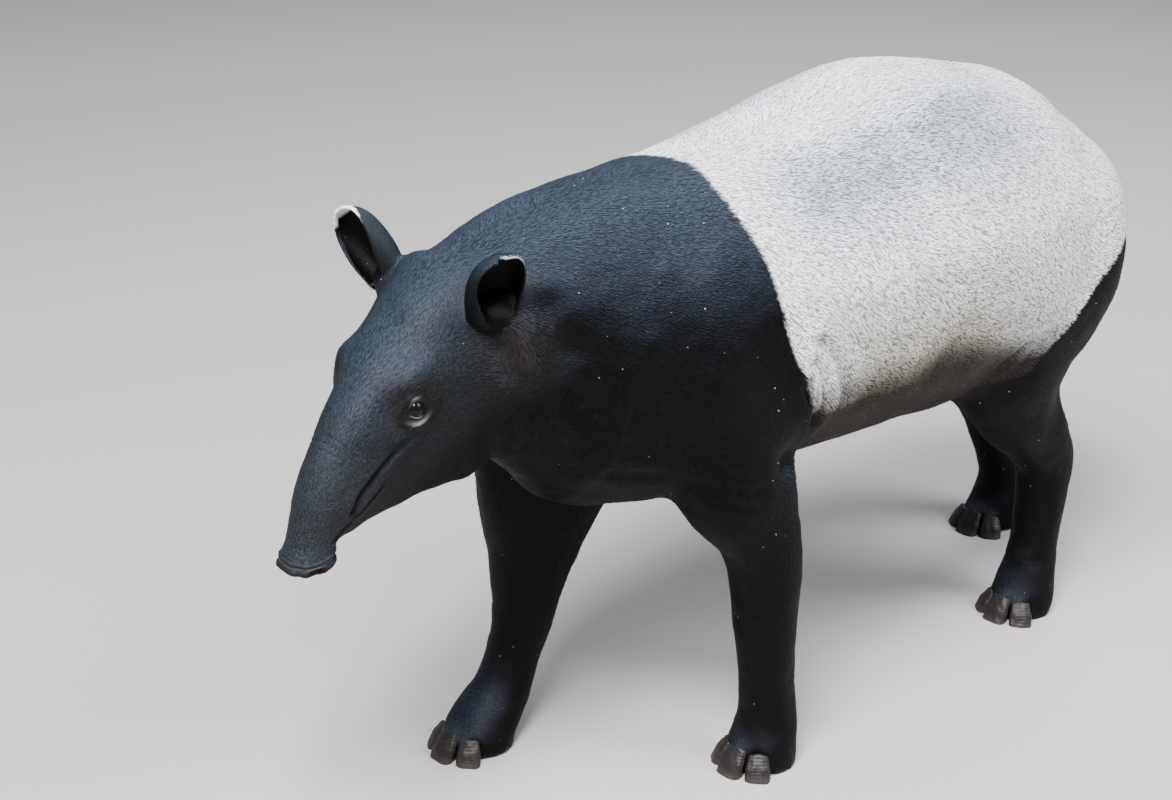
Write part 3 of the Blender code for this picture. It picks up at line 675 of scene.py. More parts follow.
def shape_trunk(skin, sizes):
    """Evens the remeshed flesh, splits its faces where detail follows, and sinks it in the coat."""
    head, snout, legs, feet = body_parts(places_of(skin.data))
    relax(skin, np.clip(1.0 - 0.30 * head - 0.55 * feet, 0.0, 1.0), 40)
    head, snout, legs, feet = body_parts(places_of(skin.data))
    refine(skin, (head > 0.3) | (feet > 0.35))
    places = places_of(skin.data)
    head, snout, legs, feet = body_parts(places)
    relax(skin, np.maximum(head, feet), 8)
    refine(skin, (snout > 0.3) | (to_eyes(places) < 0.050))
    places = places_of(skin.data)
    head, snout, legs, feet = body_parts(places)
    relax(skin, np.maximum(head, feet), 4)
    left = mirrored(places)
    folds = np.min([to_line(left, points) - 2.0 * width for points, width, depth in FOLDS], axis=0)
    refine(skin, (folds < 0.006) & (head < 0.3))

    # The skin lies under the coat by its depth, which is least on the head and the feet.
    places, normals = places_of(skin.data), normals_of(skin.data)
    head, snout, legs, feet = body_parts(places)
    face = ramp(head_frame(places)[0], 0.09, 0.14) * (head > 0.5)
    depth = sizes.coat_depth * (1.0 - 0.6 * np.maximum(head, feet))
    places += normals * (sculpt_body(places) * (1.0 - face) - depth)[:, None]
    put_places(skin.data, places)


def shape_head(skin):
    """Sculpts the head's finest forms, on faces split again round the eyes and the snout's end."""
    for reach in (0.032, 0.021):
        places = places_of(skin.data)
        deep, near = on_pad(places)[2:]
        refine(skin, (to_eyes(places) < reach) | (near & (deep > -reach)))
    places, normals = places_of(skin.data), normals_of(skin.data)
    head = body_parts(places)[0]
    places += normals * (sculpt_head(places) * (head > 0.5))[:, None]
    for side in SIGNS:
        places = sculpt_eye(places, side)
    put_places(skin.data, places)


def add_ears(skin):
    for side in SIGNS:
        shell = ear_shell(side)
        apply_modifier(skin, "BOOLEAN", operation="UNION", solver="MANIFOLD", object=shell)
        bpy.data.objects.remove(shell)
    keep_largest(skin)
    places = places_of(skin.data)
    joints = np.zeros(len(places))
    for side in SIGNS:
        across, out, share = in_ear(side, places)
        near = np.hypot(across, out) < EAR_RADIUS
        joints = np.maximum(joints, near * ramp(share, -0.25, -0.05) * ramp(-share, -0.30, -0.14))
    relax(skin, joints, 10, inflate=0.0)

    # The lids, ears and snout's end keep all their points.
    places = places_of(skin.data)
    deep, kept = on_pad(places)[2:]
    kept &= deep > -0.021
    kept |= to_eyes(places) < 0.024
    for side in SIGNS:
        across, out, share = in_ear(side, places)
        kept |= (np.hypot(across, out) < EAR_RADIUS) & (share > 0.0)
    thin_out(skin, kept, SKIN_TRIANGLES)


def build_skin(sizes):
    flesh = [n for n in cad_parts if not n.startswith(("hoof_", "ear_"))]
    skin = merged_copy(flesh, "skin")
    apply_modifier(skin, "REMESH", mode="VOXEL", voxel_size=sizes.skin_grain)
    keep_largest(skin)
    shape_trunk(skin, sizes)
    shape_head(skin)
    add_ears(skin)
    places = places_of(skin.data)
    places[:, 2] = np.maximum(places[:, 2], 0.3 * MM)
    put_places(skin.data, places)
    smooth(skin.data)
    for mark, share in MARKS.items():
        set_attribute(skin.data, mark, share(places))
    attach(skin, "root")
    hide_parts(*[n for n in flesh if not n.startswith("eye_")], "ear_left", "ear_right")
    return skin


def half_widths(t):
    """The ear's half width at each share of its length."""
    steps = np.linspace(0.0, 1.0, 41)
    return np.interp(t, steps, [ear_half_width(step) for step in steps]) + 1e-6


def rim_share(places):
    """1 on the pale rim of an ear, 0 away from it."""
    share = np.zeros(len(places))
    for side in SIGNS:
        across, out, t = in_ear(side, places)
        half = half_widths(t)
        turn = np.abs(np.arctan2(across, -(out - EAR_BEND * t * t) / EAR_DEPTH))
        to_edge = (ear_spread(t) - turn) * half
        to_edge = np.minimum(to_edge, (1.0 - t) * EAR_LENGTH[side])
        near = (t > 0.1) & (t < 1.1) & (np.hypot(across, out) < 0.07)
        if side == "right":
            # White hair wraps this ear's tip and thins out down its inner edge.
            broad = (0.5 + 7.0 * ramp(t, 0.74, 0.92)) * MM
            edge = ramp(-to_edge, -broad - 1.0 * MM, -broad) * ramp(t, 0.66, 0.76)
            edge *= np.maximum(ramp(t, 0.84, 0.90), ramp(-across, -0.004, 0.004))
        else:
            # Only a thin pale line runs round the back of this one.
            edge = 0.45 * ramp(-to_edge, -1.1 * MM, -0.5 * MM)
            edge *= ramp(t, 0.45, 0.62) * ramp(-across, 0.000, 0.010)
        share = np.maximum(share, near * edge)
    return share


def bare_share(places):
    """1 on pale bare skin: the lids' rims, the pouch under each eye, and the snout's rim."""
    deep, near = on_pad(places)[2:]
    share = near * 0.16 * bump_at(deep, SNOUT_RIM + 2.0 * MM, 1.6 * MM)
    for side in SIGNS:
        around, ahead, rise, out = around_eye(places, side)
        near = (out > 0.0) & (around < 3.0)
        edge = 0.6 * bump_at(around, 1.12, 0.05) * ramp(-rise, 3.0 * MM, 7.0 * MM)
        edge *= ramp(ahead, -8.0 * MM, 1.0 * MM)
        pouch = 0.80 * ramp(-rise, 6.0 * MM, 15.0 * MM) * bump_at(around, 2.10, 0.42)
        pouch *= bump_at(ahead, 0.0, 12.0 * MM)
        brow = 0.55 * ramp(rise, 6.0 * MM, 10.0 * MM) * bump_at(around, 1.42, 0.20)
        brow *= bump_at(ahead, 0.0, 6.0 * MM)
        share = np.max([share, near * edge, near * pouch, near * brow], axis=0)
    return share


def on_pad(places):
    """Places from the middle of the snout's end: across, to its front, out, and the near ones."""
    off = places - np.array(on_head(*SNOUT_END))
    axes = np.array((SNOUT_ACROSS, SNOUT_POINTS.cross(SNOUT_ACROSS), SNOUT_POINTS))
    across, fore, deep = (off @ axes.T).T
    return across, fore, deep, np.linalg.norm(off, axis=1) < 0.065


def nostril(places):
    """How far places lie from the middle of the nearer nostril, in nostrils."""
    across, fore, deep, near = on_pad(places)
    round_end = np.arctan2(fore, np.abs(across)) - math.radians(24.0)
    share = np.hypot(round_end * 0.036 / 0.0145, (deep + 7.0 * MM) / (5.0 * MM))
    return np.where(near & (np.hypot(across, fore) > 0.018), share, 9.0)


def crease_shade_share(places):
    """1 where dark shade is painted: in the ears, nostrils, mouth and folds, and in the creases
    round the eyes.
    """
    forward, left, up = head_frame(places)
    flat = np.stack([forward, up], axis=1)
    fold = ramp(forward, 0.180, 0.270) * bump_at(to_line(flat, CHEEK_FOLD), 0.0, 6.0 * MM)
    mouth = bump_at(to_line(flat, MOUTH), 0.0, 2.2 * MM)
    beside = ramp(np.abs(left), 0.010, 0.025) * (places[:, 1] < HEAD_BACK)
    share = beside * 0.85 * np.maximum(fold, mouth)
    for side in SIGNS:
        across, out, t = in_ear(side, places)
        half = half_widths(t)
        middle = (out - EAR_BEND * t * t) / (EAR_DEPTH * half)
        inside = np.hypot(across / half, middle) < 0.985
        share = np.maximum(share, inside * (t > -0.12) * (t < 0.97))
        around, _, rise, outward = around_eye(places, side)
        crease = bump_at(around, 1.36, 0.07) + 0.8 * bump_at(around, 2.90, 0.20)
        crease *= ramp(-rise, 0.0, 4.0 * MM)
        share = np.maximum(share, 0.85 * (outward > 0.0) * crease)
    return np.maximum(share, 1.0 - ramp(nostril(places), 0.7, 1.1))


def brown_share(places):
    """1 where the black coat is brown: round the eyes and under the ears."""
    share = 0.6 * (1.0 - ramp(to_eyes(places), 0.022, 0.055))
    return np.maximum(share, 0.7 * np.max(under_ears(places, 0.050), axis=0))


def hollow_shade_share(places):
    """1 in the flank's hollow, where thin hair lets the dark skin show, with painted shade in the
    hollow too.
    """
    gap = to_line(mirrored(places), FLANK_HOLLOW)
    return 0.93 * (1.0 - ramp(gap, 0.010, 0.085)) * (places[:, 1] > 0.0)


def painted_sheen_share(places):
    """How much painted sheen, in grey, lies on the black coat on the sides of the snout and the
    cheeks, standing in for the sky light on them.
    """
    forward, _, up = head_frame(places)
    cheek = 0.40 * ramp(forward, -0.06, 0.05) * ramp(up, -0.150, -0.060)
    snout = 0.40 * ramp(forward, 0.22, 0.31) * ramp(up, -0.075, -0.010)
    return (cheek + snout) * (places[:, 1] < HEAD_BACK)


# The markings, and the painted shade and sheen, that skin and tufts carry as attributes of the same
# names.
MARKS = {
    "rim": rim_share,
    "bare": bare_share,
    "brown": brown_share,
    "deep": crease_shade_share,
    "sheen": painted_sheen_share,
    "hollow": hollow_shade_share,
}


def hairless(places):
    """Where no tuft grows: on the lids and on the snout's end."""
    deep, near = on_pad(places)[2:]
    found = near & (deep > SNOUT_RIM + 1.0 * MM)
    for side in SIGNS:
        around, _, rise, out = around_eye(places, side)
        bald = 2.45 - 0.8 * ramp(rise, -2.0 * MM, 4.0 * MM)
        found |= (around < bald) & (out > 0.0)
    return found


def set_attribute(mesh, name, values, kind="FLOAT"):
    made = mesh.attributes.new(name, kind, "POINT")
    key = "value" if kind == "FLOAT" else "vector"
    made.data.foreach_set(key, values.astype(np.float32).ravel())


def add_node(tree, kind, inputs=None, **settings):
    """Adds a shader node, with its settings, and its inputs as values, sockets or nodes."""
    node = tree.nodes.new("ShaderNode" + kind)
    for key, value in settings.items():
        setattr(node, key, value)
    for key, value in (inputs or {}).items():
        if isinstance(value, bpy.types.Node):
            value = value.outputs[0]
        if isinstance(value, bpy.types.NodeSocket):
            tree.links.new(value, node.inputs[key])
        else:
            node.inputs[key].default_value = value
    return node


def new_material(name):
    """A material with its shader, and its node tree."""
    made = bpy.data.materials.new(name)
    made.use_nodes = True
    return made, made.node_tree, made.node_tree.nodes["Principled BSDF"]


def edge_mask(tree, at, value, line, box):
    """1 where a value lies past a line that follows another, softly, and how far past it lies."""
    (x0, x1), (y0, y1) = box
    share = add_node(tree, "MapRange", {"Value": at, 1: x0, 2: x1})
    curve = add_node(tree, "FloatCurve", {"Value": share})
    points = curve.mapping.curves[0].points
    for i, (x, y) in enumerate(line):
        spot = ((x - x0) / (x1 - x0), (y - y0) / (y1 - y0))
        if i < 2:
            points[i].location = spot
        else:
            points.new(*spot)
    curve.mapping.update()
    limit = add_node(tree, "MapRange", {"Value": curve, 3: y0, 4: y1})
    past = add_node(tree, "Math", {0: value, 1: limit}, operation="SUBTRACT")
    soft = 3.5 * MM
    return add_node(tree, "MapRange", {"Value": past, 1: -soft, 2: soft}), past


def coat_colour(tree, place, colours):
    """The animal's markings at a place: a pale saddle on a black animal, each with its tones, and
    painted light and shade on both: a lit band, blue-grey slopes and a shaded belly on the saddle,
    a sky reflection, grey sheen and shaded brown on the black, and near black in creases.
    """
    ragged = add_node(tree, "TexNoise", {"Vector": place, "Scale": 1 / 0.014, "Detail": 2.0})
    middle = (0.5, 0.5, 0.5)
    shift = add_node(
        tree, "VectorMath", {0: ragged.outputs["Color"], 1: middle}, operation="SUBTRACT"
    )
    wobble = add_node(tree, "VectorMath", {0: shift, 3: 0.014}, operation="SCALE")
    moved = add_node(tree, "VectorMath", {0: place, 1: wobble})
    y, z = add_node(tree, "SeparateXYZ", {0: moved}).outputs[1:]
    front, behind = edge_mask(tree, z, y, SADDLE_FRONT, ((0.40, 1.05), (-0.25, 0.0)))
    below = edge_mask(tree, y, z, SADDLE_EDGE, ((0.25, 0.90), (0.35, 0.85)))[0]
    normal = add_node(tree, "NewGeometry").outputs["Normal"]
    facing = add_node(tree, "SeparateXYZ", {0: normal}).outputs["Z"]
    mottle = add_node(tree, "TexNoise", {"Vector": place, "Scale": 1 / 0.06, "Detail": 4.0})
    # The painted belly shade lies 45 mm lower towards the rump.
    rises = add_node(tree, "MapRange", {"Value": y, 1: 0.20, 2: 0.34, 4: 0.045})
    risen = add_node(tree, "Math", {0: z, 1: rises}, operation="ADD")
    share = {"front": front, "below": below}
    for name in ("brown", "deep", "sheen", "hollow"):
        share[name] = add_node(tree, "Attribute", attribute_name=name).outputs["Fac"]
    for name, value, start, end, least, most in (
        # a mask, what it reads, where it begins and ends, and its least and most
        # painted light: the band behind the saddle's front edge is white again, for the light
        # falling on it
        ("lit_front_band", behind, 0.14, 0.03, 0.0, 0.85),
        # how far the surface faces up, where the painted sky reflection goes
        ("upward", facing, 0.15, 0.90, 0.0, 1.0),
        ("sloping", facing, 0.30, 0.65, 0.0, 1.0),
        ("off_ridge", facing, 0.98, 0.88, 0.0, 1.0),
        ("patchy", mottle, 0.35, 0.65, 0.75, 1.0),
        ("ahead", y, 0.50, 0.30, 0.25, 1.0),
        ("trunk", y, 0.48, 0.26, 0.0, 1.0),
        ("low", z, 0.84, 0.60, 0.0, 1.0),
        # the painted belly shade, by height
        ("under", risen, 0.680, 0.610, 0.0, 1.0),
        # painted shade, stronger lower down the body
        ("shaded", z, 0.60, 0.25, 0.0, 1.0),
    ):
        span = {"Value": value, 1: start, 2: end, 3: least, 4: most}
        share[name] = add_node(tree, "MapRange", span)
    for name, first, *others in (
        ("saddle", "front", "below"),
        # painted blue-grey shade where the back slopes off the ridge, mottled, and stronger towards
        # the front
        ("top", "sloping", "off_ridge", "patchy", "ahead"),
        # the darker cream, stronger the lower it lies on the trunk, mottled
        ("side", "low", "trunk", "patchy"),
    ):
        share[name] = share[first]
        for other in others:
            factors = {0: share[name], 1: share[other]}
            share[name] = add_node(tree, "Math", factors, operation="MULTIPLY")

    tones = {}
    for name, coats in {
        "pale": (
            (None, colours.white),
            ("top", colours.slope_shade),
            ("side", colours.cream),
            # darker hair and painted shade in the flank's hollow
            ("hollow", colours.hollow),
            # painted light behind the saddle's front edge
            ("lit_front_band", colours.white),
            ("under", colours.belly),
        ),
        "dark": (
            (None, colours.black),
            ("shaded", colours.shade_brown),
            # painted sheen on the snout's sides and cheeks
            ("sheen", colours.sheen),
            ("upward", colours.sky_reflection),
            ("brown", colours.brown),
        ),
        # near black painted shade in the ears, nostrils and creases
        "deep": ((None, srgb("#050505")),),
    }.items():
        for key, colour in coats:
            colour = (*colour, 1.0)
            if key:
                layer = {0: share[key], 6: tones[name], 7: colour}
                colour = add_node(tree, "Mix", layer, data_type="RGBA").outputs[2]
            tones[name] = colour
    coat = tones["dark"]
    for key, tone in (("saddle", "pale"), ("deep", "deep")):
        layer = {0: share[key], 6: coat, 7: tones[tone]}
        coat = add_node(tree, "Mix", layer, data_type="RGBA").outputs[2]
    return coat


def set_inputs(shader, **values):
    """Sets a shader's inputs, each named with _ for a space."""
    for key, value in values.items():
        shader.inputs[key.replace("_", " ")].default_value = value


def hide_material(colours):
    """Tapir hide: thick, finely creased skin, darker than the coat above it: partly its own darker
    tone and partly painted shade between the hairs.
    """
    made, tree, shader = new_material("tapir_hide")
    place = add_node(tree, "TexCoord").outputs["Object"]
    coat = coat_colour(tree, place, colours)
    # The hide is a darker copy of the coat's colour, partly its own tone and partly painted shade
    # between the hairs.
    tone = add_node(tree, "HueSaturation", {"Color": coat, "Value": 0.24, "Saturation": 0.9})
    for mark, colour in (("bare", colours.bare), ("rim", colours.white)):
        share = add_node(tree, "Attribute", attribute_name=mark).outputs["Fac"]
        layer = {0: share, 6: tone, 7: (*colour, 1.0)}
        tone = add_node(tree, "Mix", layer, data_type="RGBA").outputs[2]
    tree.links.new(tone, shader.inputs["Base Color"])
    set_inputs(shader, Roughness=0.60, Specular_IOR_Level=0.12)
    # Creases lie 3.5 mm apart, over a grain of 1.2 mm.
    net = {"Vector": place, "Scale": 1 / 0.0035}
    creases = add_node(tree, "TexVoronoi", net, feature="DISTANCE_TO_EDGE")
    grain = add_node(tree, "TexNoise", {"Vector": place, "Scale": 1 / 0.0012, "Detail": 2.0})
    fine = add_node(tree, "Bump", {"Strength": 0.35, "Distance": 0.4 * MM, "Height": grain})
    relief = {"Strength": 0.5, "Distance": 0.6 * MM, "Height": creases, "Normal": fine}
    tree.links.new(add_node(tree, "Bump", relief).outputs[0], shader.inputs["Normal"])
    return made


def hair_material(colours):
    """Short flat hair: each tuft takes the marking at its root, a little lighter or darker."""
    made, tree, shader = new_material("tapir_hair")
    root = add_node(tree, "Attribute", attribute_name="root").outputs["Vector"]
    tint = add_node(tree, "Attribute", attribute_name="tint").outputs["Fac"]
    rim = add_node(tree, "Attribute", attribute_name="rim").outputs["Fac"]
    layer = {0: rim, 6: coat_colour(tree, root, colours), 7: (*colours.white, 1.0)}
    pale = add_node(tree, "Mix", layer, data_type="RGBA").outputs[2]
    value = add_node(tree, "MapRange", {"Value": tint, 3: 0.55, 4: 1.35})
    varied = add_node(tree, "HueSaturation", {"Color": pale, "Value": value})
    tree.links.new(varied.outputs[0], shader.inputs["Base Color"])
    set_inputs(shader, Roughness=0.50, Specular_IOR_Level=0.08)
    return made


def eye_material(colours):
    """A wet eyeball: a dark brown iris round a near-black pupil, and a grey-brown white."""
    made, tree, shader = new_material("wet_eyeball")
    gaze = add_node(tree, "Attribute", attribute_name="gaze").outputs["Fac"]
    place = add_node(tree, "TexCoord").outputs["Object"]
    # Streaks run 1.2 mm apart.
    streaks = add_node(tree, "TexNoise", {"Vector": place, "Scale": 1 / 0.0012})
    streak = add_node(tree, "MapRange", {"Value": streaks, 3: 0.55, 4: 1.5})
    rings = add_node(tree, "ValToRGB", {"Fac": gaze})
    stops = rings.color_ramp.elements
    pupil = (0.002, 0.002, 0.003)
    stops[0].color = (*pupil, 1.0)
    stops[1].color = (*srgb("#1a1414"), 1.0)
    for position, colour in (
        (0.20, pupil),
        (0.25, colours.iris),
        (0.46, colours.iris),
        (0.50, srgb("#070606")),
        (0.66, srgb("#100c0d")),
    ):
        stops.new(position).color = (*colour, 1.0)
    varied = add_node(tree, "HueSaturation", {"Color": rings, "Value": streak})
    tree.links.new(varied.outputs[0], shader.inputs["Base Color"])
    set_inputs(shader, Roughness=0.10, IOR=1.38, Specular_IOR_Level=0.10)
    set_inputs(shader, Coat_Weight=0.12, Coat_Roughness=0.02)
    return made


def horn_material(colours):
    """Hoof horn: dark keratin with growth rings and a worn, dusty lower edge."""
    made, tree, shader = new_material("hoof_horn")
    place = add_node(tree, "TexCoord").outputs["Object"]
    z = add_node(tree, "SeparateXYZ", {0: place}).outputs["Z"]
    # Fibres of 1 mm run down the horn, and the lowest 14 mm are worn.
    stretched = add_node(tree, "Mapping", {"Vector": place, "Scale": (1.0, 1.0, 0.12)})
    fibre = add_node(tree, "TexNoise", {"Vector": stretched, "Scale": 1 / 0.0010})
    worn = add_node(tree, "MapRange", {"Value": z, 1: 0.014, 2: 0.0, 4: 0.6}).outputs[0]
    tone = (*colours.horn, 1.0)
    for share, code in ((fibre.outputs[0], "#100e0d"), (worn, "#3d3731")):
        layer = {0: share, 6: tone, 7: (*srgb(code), 1.0)}
        tone = add_node(tree, "Mix", layer, data_type="RGBA").outputs[2]
    tree.links.new(tone, shader.inputs["Base Color"])
    set_inputs(shader, Roughness=0.50, Specular_IOR_Level=0.25)
    bump = add_node(tree, "Bump", {"Strength": 0.4, "Distance": 0.3 * MM, "Height": fibre})
    tree.links.new(bump.outputs[0], shader.inputs["Normal"])
    return made


def build_eye(side, material):
    """An eyeball with the bulge of its cornea."""
    centre = np.array(EYE_CENTRES[side])
    bpy.ops.mesh.primitive_uv_sphere_add(
        segments=48, ring_count=32, radius=EYE_RADIUS, location=EYE_CENTRES[side]
    )
    eye = bpy.context.active_object
    eye.name = "eyeball_" + side
    bpy.ops.object.transform_apply(location=True, rotation=True, scale=True)
    offsets = places_of(eye.data) - centre
    unit = offsets / np.linalg.norm(offsets, axis=1)[:, None]
    angle = np.arccos(np.clip(unit @ np.array(eye_axes(side)[2]), -1.0, 1.0))
    bulge = 1.1 * MM * (1.0 - ramp(angle, 0.0, math.radians(44.0)))
    put_places(eye.data, centre + unit * (EYE_RADIUS + bulge)[:, None])
    smooth(eye.data)
    set_attribute(eye.data, "gaze", angle / (0.5 * math.pi))
    eye.data.materials.append(material)
    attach(eye, "root")
    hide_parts("eye_" + side)


def build_hoof(node, material):
    """One hoof, rounded and ringed, from its CAD solid."""
    hoof = merged_copy([node], node.replace("hoof", "horn"))
    apply_modifier(hoof, "REMESH", mode="VOXEL", voxel_size=1.6 * MM)
    keep_largest(hoof)
    relax(hoof, np.ones(len(hoof.data.vertices)), 8)
    places, normals = places_of(hoof.data), normals_of(hoof.data)
    upright = 1.0 - np.abs(normals[:, 2]) ** 3
    rings = np.sin(places[:, 2] * 2.0 * math.pi / 0.0045 + lumps(places, 0.02, 9))
    relief = 0.18 * upright * rings + 0.35 * lumps(places, 0.012, 10)
    places += normals * (relief * MM)[:, None]
    places[:, 2] = np.maximum(places[:, 2], 0.0)
    put_places(hoof.data, places)
    smooth(hoof.data)
    hoof.data.materials.append(material)
    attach(hoof, "root")
    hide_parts(node)


def skin_samples(skin, spacing, seed):
    """Random places over the skin: closer together where spacing, one value a point, is small."""
    mesh = skin.data
    mesh.calc_loop_triangles()
    corners = read(mesh.loop_triangles, "vertices", 3, np.int32)
    places, normals = places_of(mesh), normals_of(mesh)
    a, b, c = (places[corners[:, k]] for k in range(3))
    areas = 0.5 * np.linalg.norm(np.cross(b - a, c - a), axis=1)
    wanted = areas / np.mean(spacing[corners], axis=1) ** 2
    draw = np.random.default_rng(seed)
    total = np.cumsum(wanted)
    count = int(total[-1])
    picks = np.searchsorted(total, np.arange(count) + draw.random(count))
    picks = corners[np.minimum(picks, len(corners) - 1)]
    u, v = draw.random(count), draw.random(count)
    over = u + v > 1.0
    u[over], v[over] = 1.0 - u[over], 1.0 - v[over]
    shares = np.stack([1.0 - u - v, u, v], axis=1)
    at = np.einsum("ij,ijk->ik", shares, places[picks])
    out = np.einsum("ij,ijk->ik", shares, normals[picks])
    return at, out / np.linalg.norm(out, axis=1)[:, None]


def coat_flow(places, normals, seed):
    """The lie of the coat: from the nose back over head and trunk, down flanks and legs."""
    head, _, legs, _ = body_parts(places)
    draw = np.random.default_rng(seed)
    flank = np.abs(normals[:, 0])
    apart = 0.30 * np.sign(places[:, 0]) * (1.0 - flank)
    fall = 0.45 + 0.55 * ramp(places[:, 2], 0.60, 0.90)
    flow = np.stack([apart, np.ones(len(places)), -0.10 - fall * flank], axis=1)
    down = np.array((0.0, 0.22, -1.0))
    flow += legs[:, None] * (1.6 * down - flow)
    back = np.array(HEAD_TURN @ Vector((0.0, 1.0, 0.0)))
    drop = np.array(HEAD_TURN @ Vector((0.0, 0.0, -0.35)))
    flow += head[:, None] * (back + drop * flank[:, None] - flow)
    for side, hangs in zip(SIGNS, under_ears(places, 0.045)):
        flow += hangs[:, None] * (np.array((0.0, 0.25, -1.0)) - flow)
        ear = on_ear(side, places, 0.02, 0.2)
        flow += ear[:, None] * (np.array(ear_frame(side)[3]) - flow)
    swirl = 0.25 * lumps(places, 0.16, 11) + draw.normal(0.0, 0.14, len(places))
    flow -= normals * np.sum(flow * normals, axis=1)[:, None]
    flow /= np.linalg.norm(flow, axis=1)[:, None] + 1e-9
    across = np.cross(normals, flow)
    return flow * np.cos(swirl)[:, None] + across * np.sin(swirl)[:, None]


def unwrap(places, region):
    """Each place on an unwrap: round and along the limb or trunk that it grows on."""
    if region.startswith("coat_head"):
        along, x, y = head_frame(places)
        y = y + 0.08
    elif region.startswith(("coat_ear", "coat_leg")):
        along = places[:, 2]
        x, y = (places[:, k] - places[:, k].mean() for k in (0, 1))
    else:
        along, x, y = places[:, 1], places[:, 0], places[:, 2] - TRUNK_MIDDLE
    shares = []
    for values in (np.arctan2(y, x), along):
        shares.append(0.01 + 0.98 * (values - values.min()) / (np.ptp(values) + 1e-9))
    return np.stack(shares, axis=1)


def plant_tufts(name, at, out, flow, length, width, lift, tint, pale, material, slot):
    """One coat piece: a flat, tapered, slightly arched tuft at every root."""
    across = np.cross(flow, out)
    count = len(at)
    points = np.empty((count, 5, 3))
    root = at - out * (0.5 * MM)
    middle = at + flow * (0.5 * length)[:, None] + out * lift[:, None]
    half = across * (0.5 * width)[:, None]
    points[:, 0], points[:, 1] = root - 0.8 * half, root + 0.8 * half
    points[:, 2], points[:, 3] = middle - half, middle + half
    points[:, 4] = at + flow * length[:, None] + out * (0.55 * lift)[:, None]
    points[:, :, 2] = np.maximum(points[:, :, 2], 0.2 * MM)
    mesh = bpy.data.meshes.new(name)
    mesh.vertices.add(count * 5)
    corner = np.array([0, 1, 3, 0, 3, 2, 2, 3, 4])
    loops = (np.arange(count)[:, None] * 5 + corner).ravel()
    mesh.loops.add(len(loops))
    mesh.polygons.add(count * 3)
    mesh.vertices.foreach_set("co", points.astype(np.float32).ravel())
    mesh.loops.foreach_set("vertex_index", loops.astype(np.int32))
    mesh.polygons.foreach_set("loop_start", np.arange(0, count * 9, 3, dtype=np.int32))
    mesh.polygons.foreach_set("loop_total", np.full(count * 3, 3, np.int32))
    mesh.update(calc_edges=True)
    smooth(mesh)
    set_attribute(mesh, "root", np.repeat(at, 5, axis=0), "FLOAT_VECTOR")
    set_attribute(mesh, "tint", np.repeat(tint, 5))
    set_attribute(mesh, "rim", np.repeat(np.maximum(rim_share(at), pale), 5))
    for mark in ("brown", "deep", "sheen", "hollow"):
        set_attribute(mesh, mark, np.repeat(MARKS[mark](at), 5))
    # On the unwrap, each tuft has a patch of its own shape, about 3 thousandths wide.
    patch = 0.0015 * np.array([(-0.8, -1.0), (0.8, -1.0), (-1.0, 0.0), (1.0, 0.0), (0.0, 1.0)])
    spots = unwrap(at, name)[:, None, :] + patch[None]
    layer = mesh.uv_layers.new(name="OFBake")
    layer.data.foreach_set("uv", spots.reshape(-1, 2)[loops].astype(np.float32).ravel())
    # Tufts are shaded much like the skin below, each a little rounded across and along.
    lean = np.empty((count, 5, 3))
    bends = ((-0.1, -0.25), (-0.1, 0.25), (0.05, -0.25), (0.05, 0.25), (0.2, 0.0))
    for k, (along, aside) in enumerate(bends):
        lean[:, k] = out + flow * along + across * aside
    lean /= np.linalg.norm(lean, axis=2)[:, :, None]
    mesh.normals_split_custom_set_from_vertices(lean.reshape(-1, 3).astype(np.float32))
    mesh.materials.append(material)
    coat = link_object(name, mesh)
    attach(coat, "root")


def coat_region(places):
    """The coat piece that each place belongs to."""
    head = body_parts(places)[0]
    x, y, z = places.T
    region = np.where(y < -0.16, "coat_shoulders", "coat_saddle_front").astype(object)
    region[y < -0.40] = "coat_neck"
    region[y > 0.22] = "coat_saddle_middle"
    region[y > 0.52] = "coat_rump"
    for name in ("coat_shoulders", "coat_saddle_front", "coat_saddle_middle"):
        region[(region == name) & (x < 0)] = name + "_right"
    limb = z < 0.50
    for name, chosen in (
        ("coat_leg_front_left", (x > 0) & (y < 0.15)),
        ("coat_leg_front_right", (x < 0) & (y < 0.05)),
        ("coat_leg_hind_left", (x > 0) & (y > 0.35)),
        ("coat_leg_hind_right", (x < 0) & (y > 0.35)),
    ):
        region[limb & chosen] = name
    region[head > 0.5] = "coat_head"
    region[(head > 0.5) & (x < 0)] = "coat_head_right"
    for side in SIGNS:
        region[on_ear(side, places, 0.06, 1.0) > 0.0] = "coat_ear_" + side
    return region


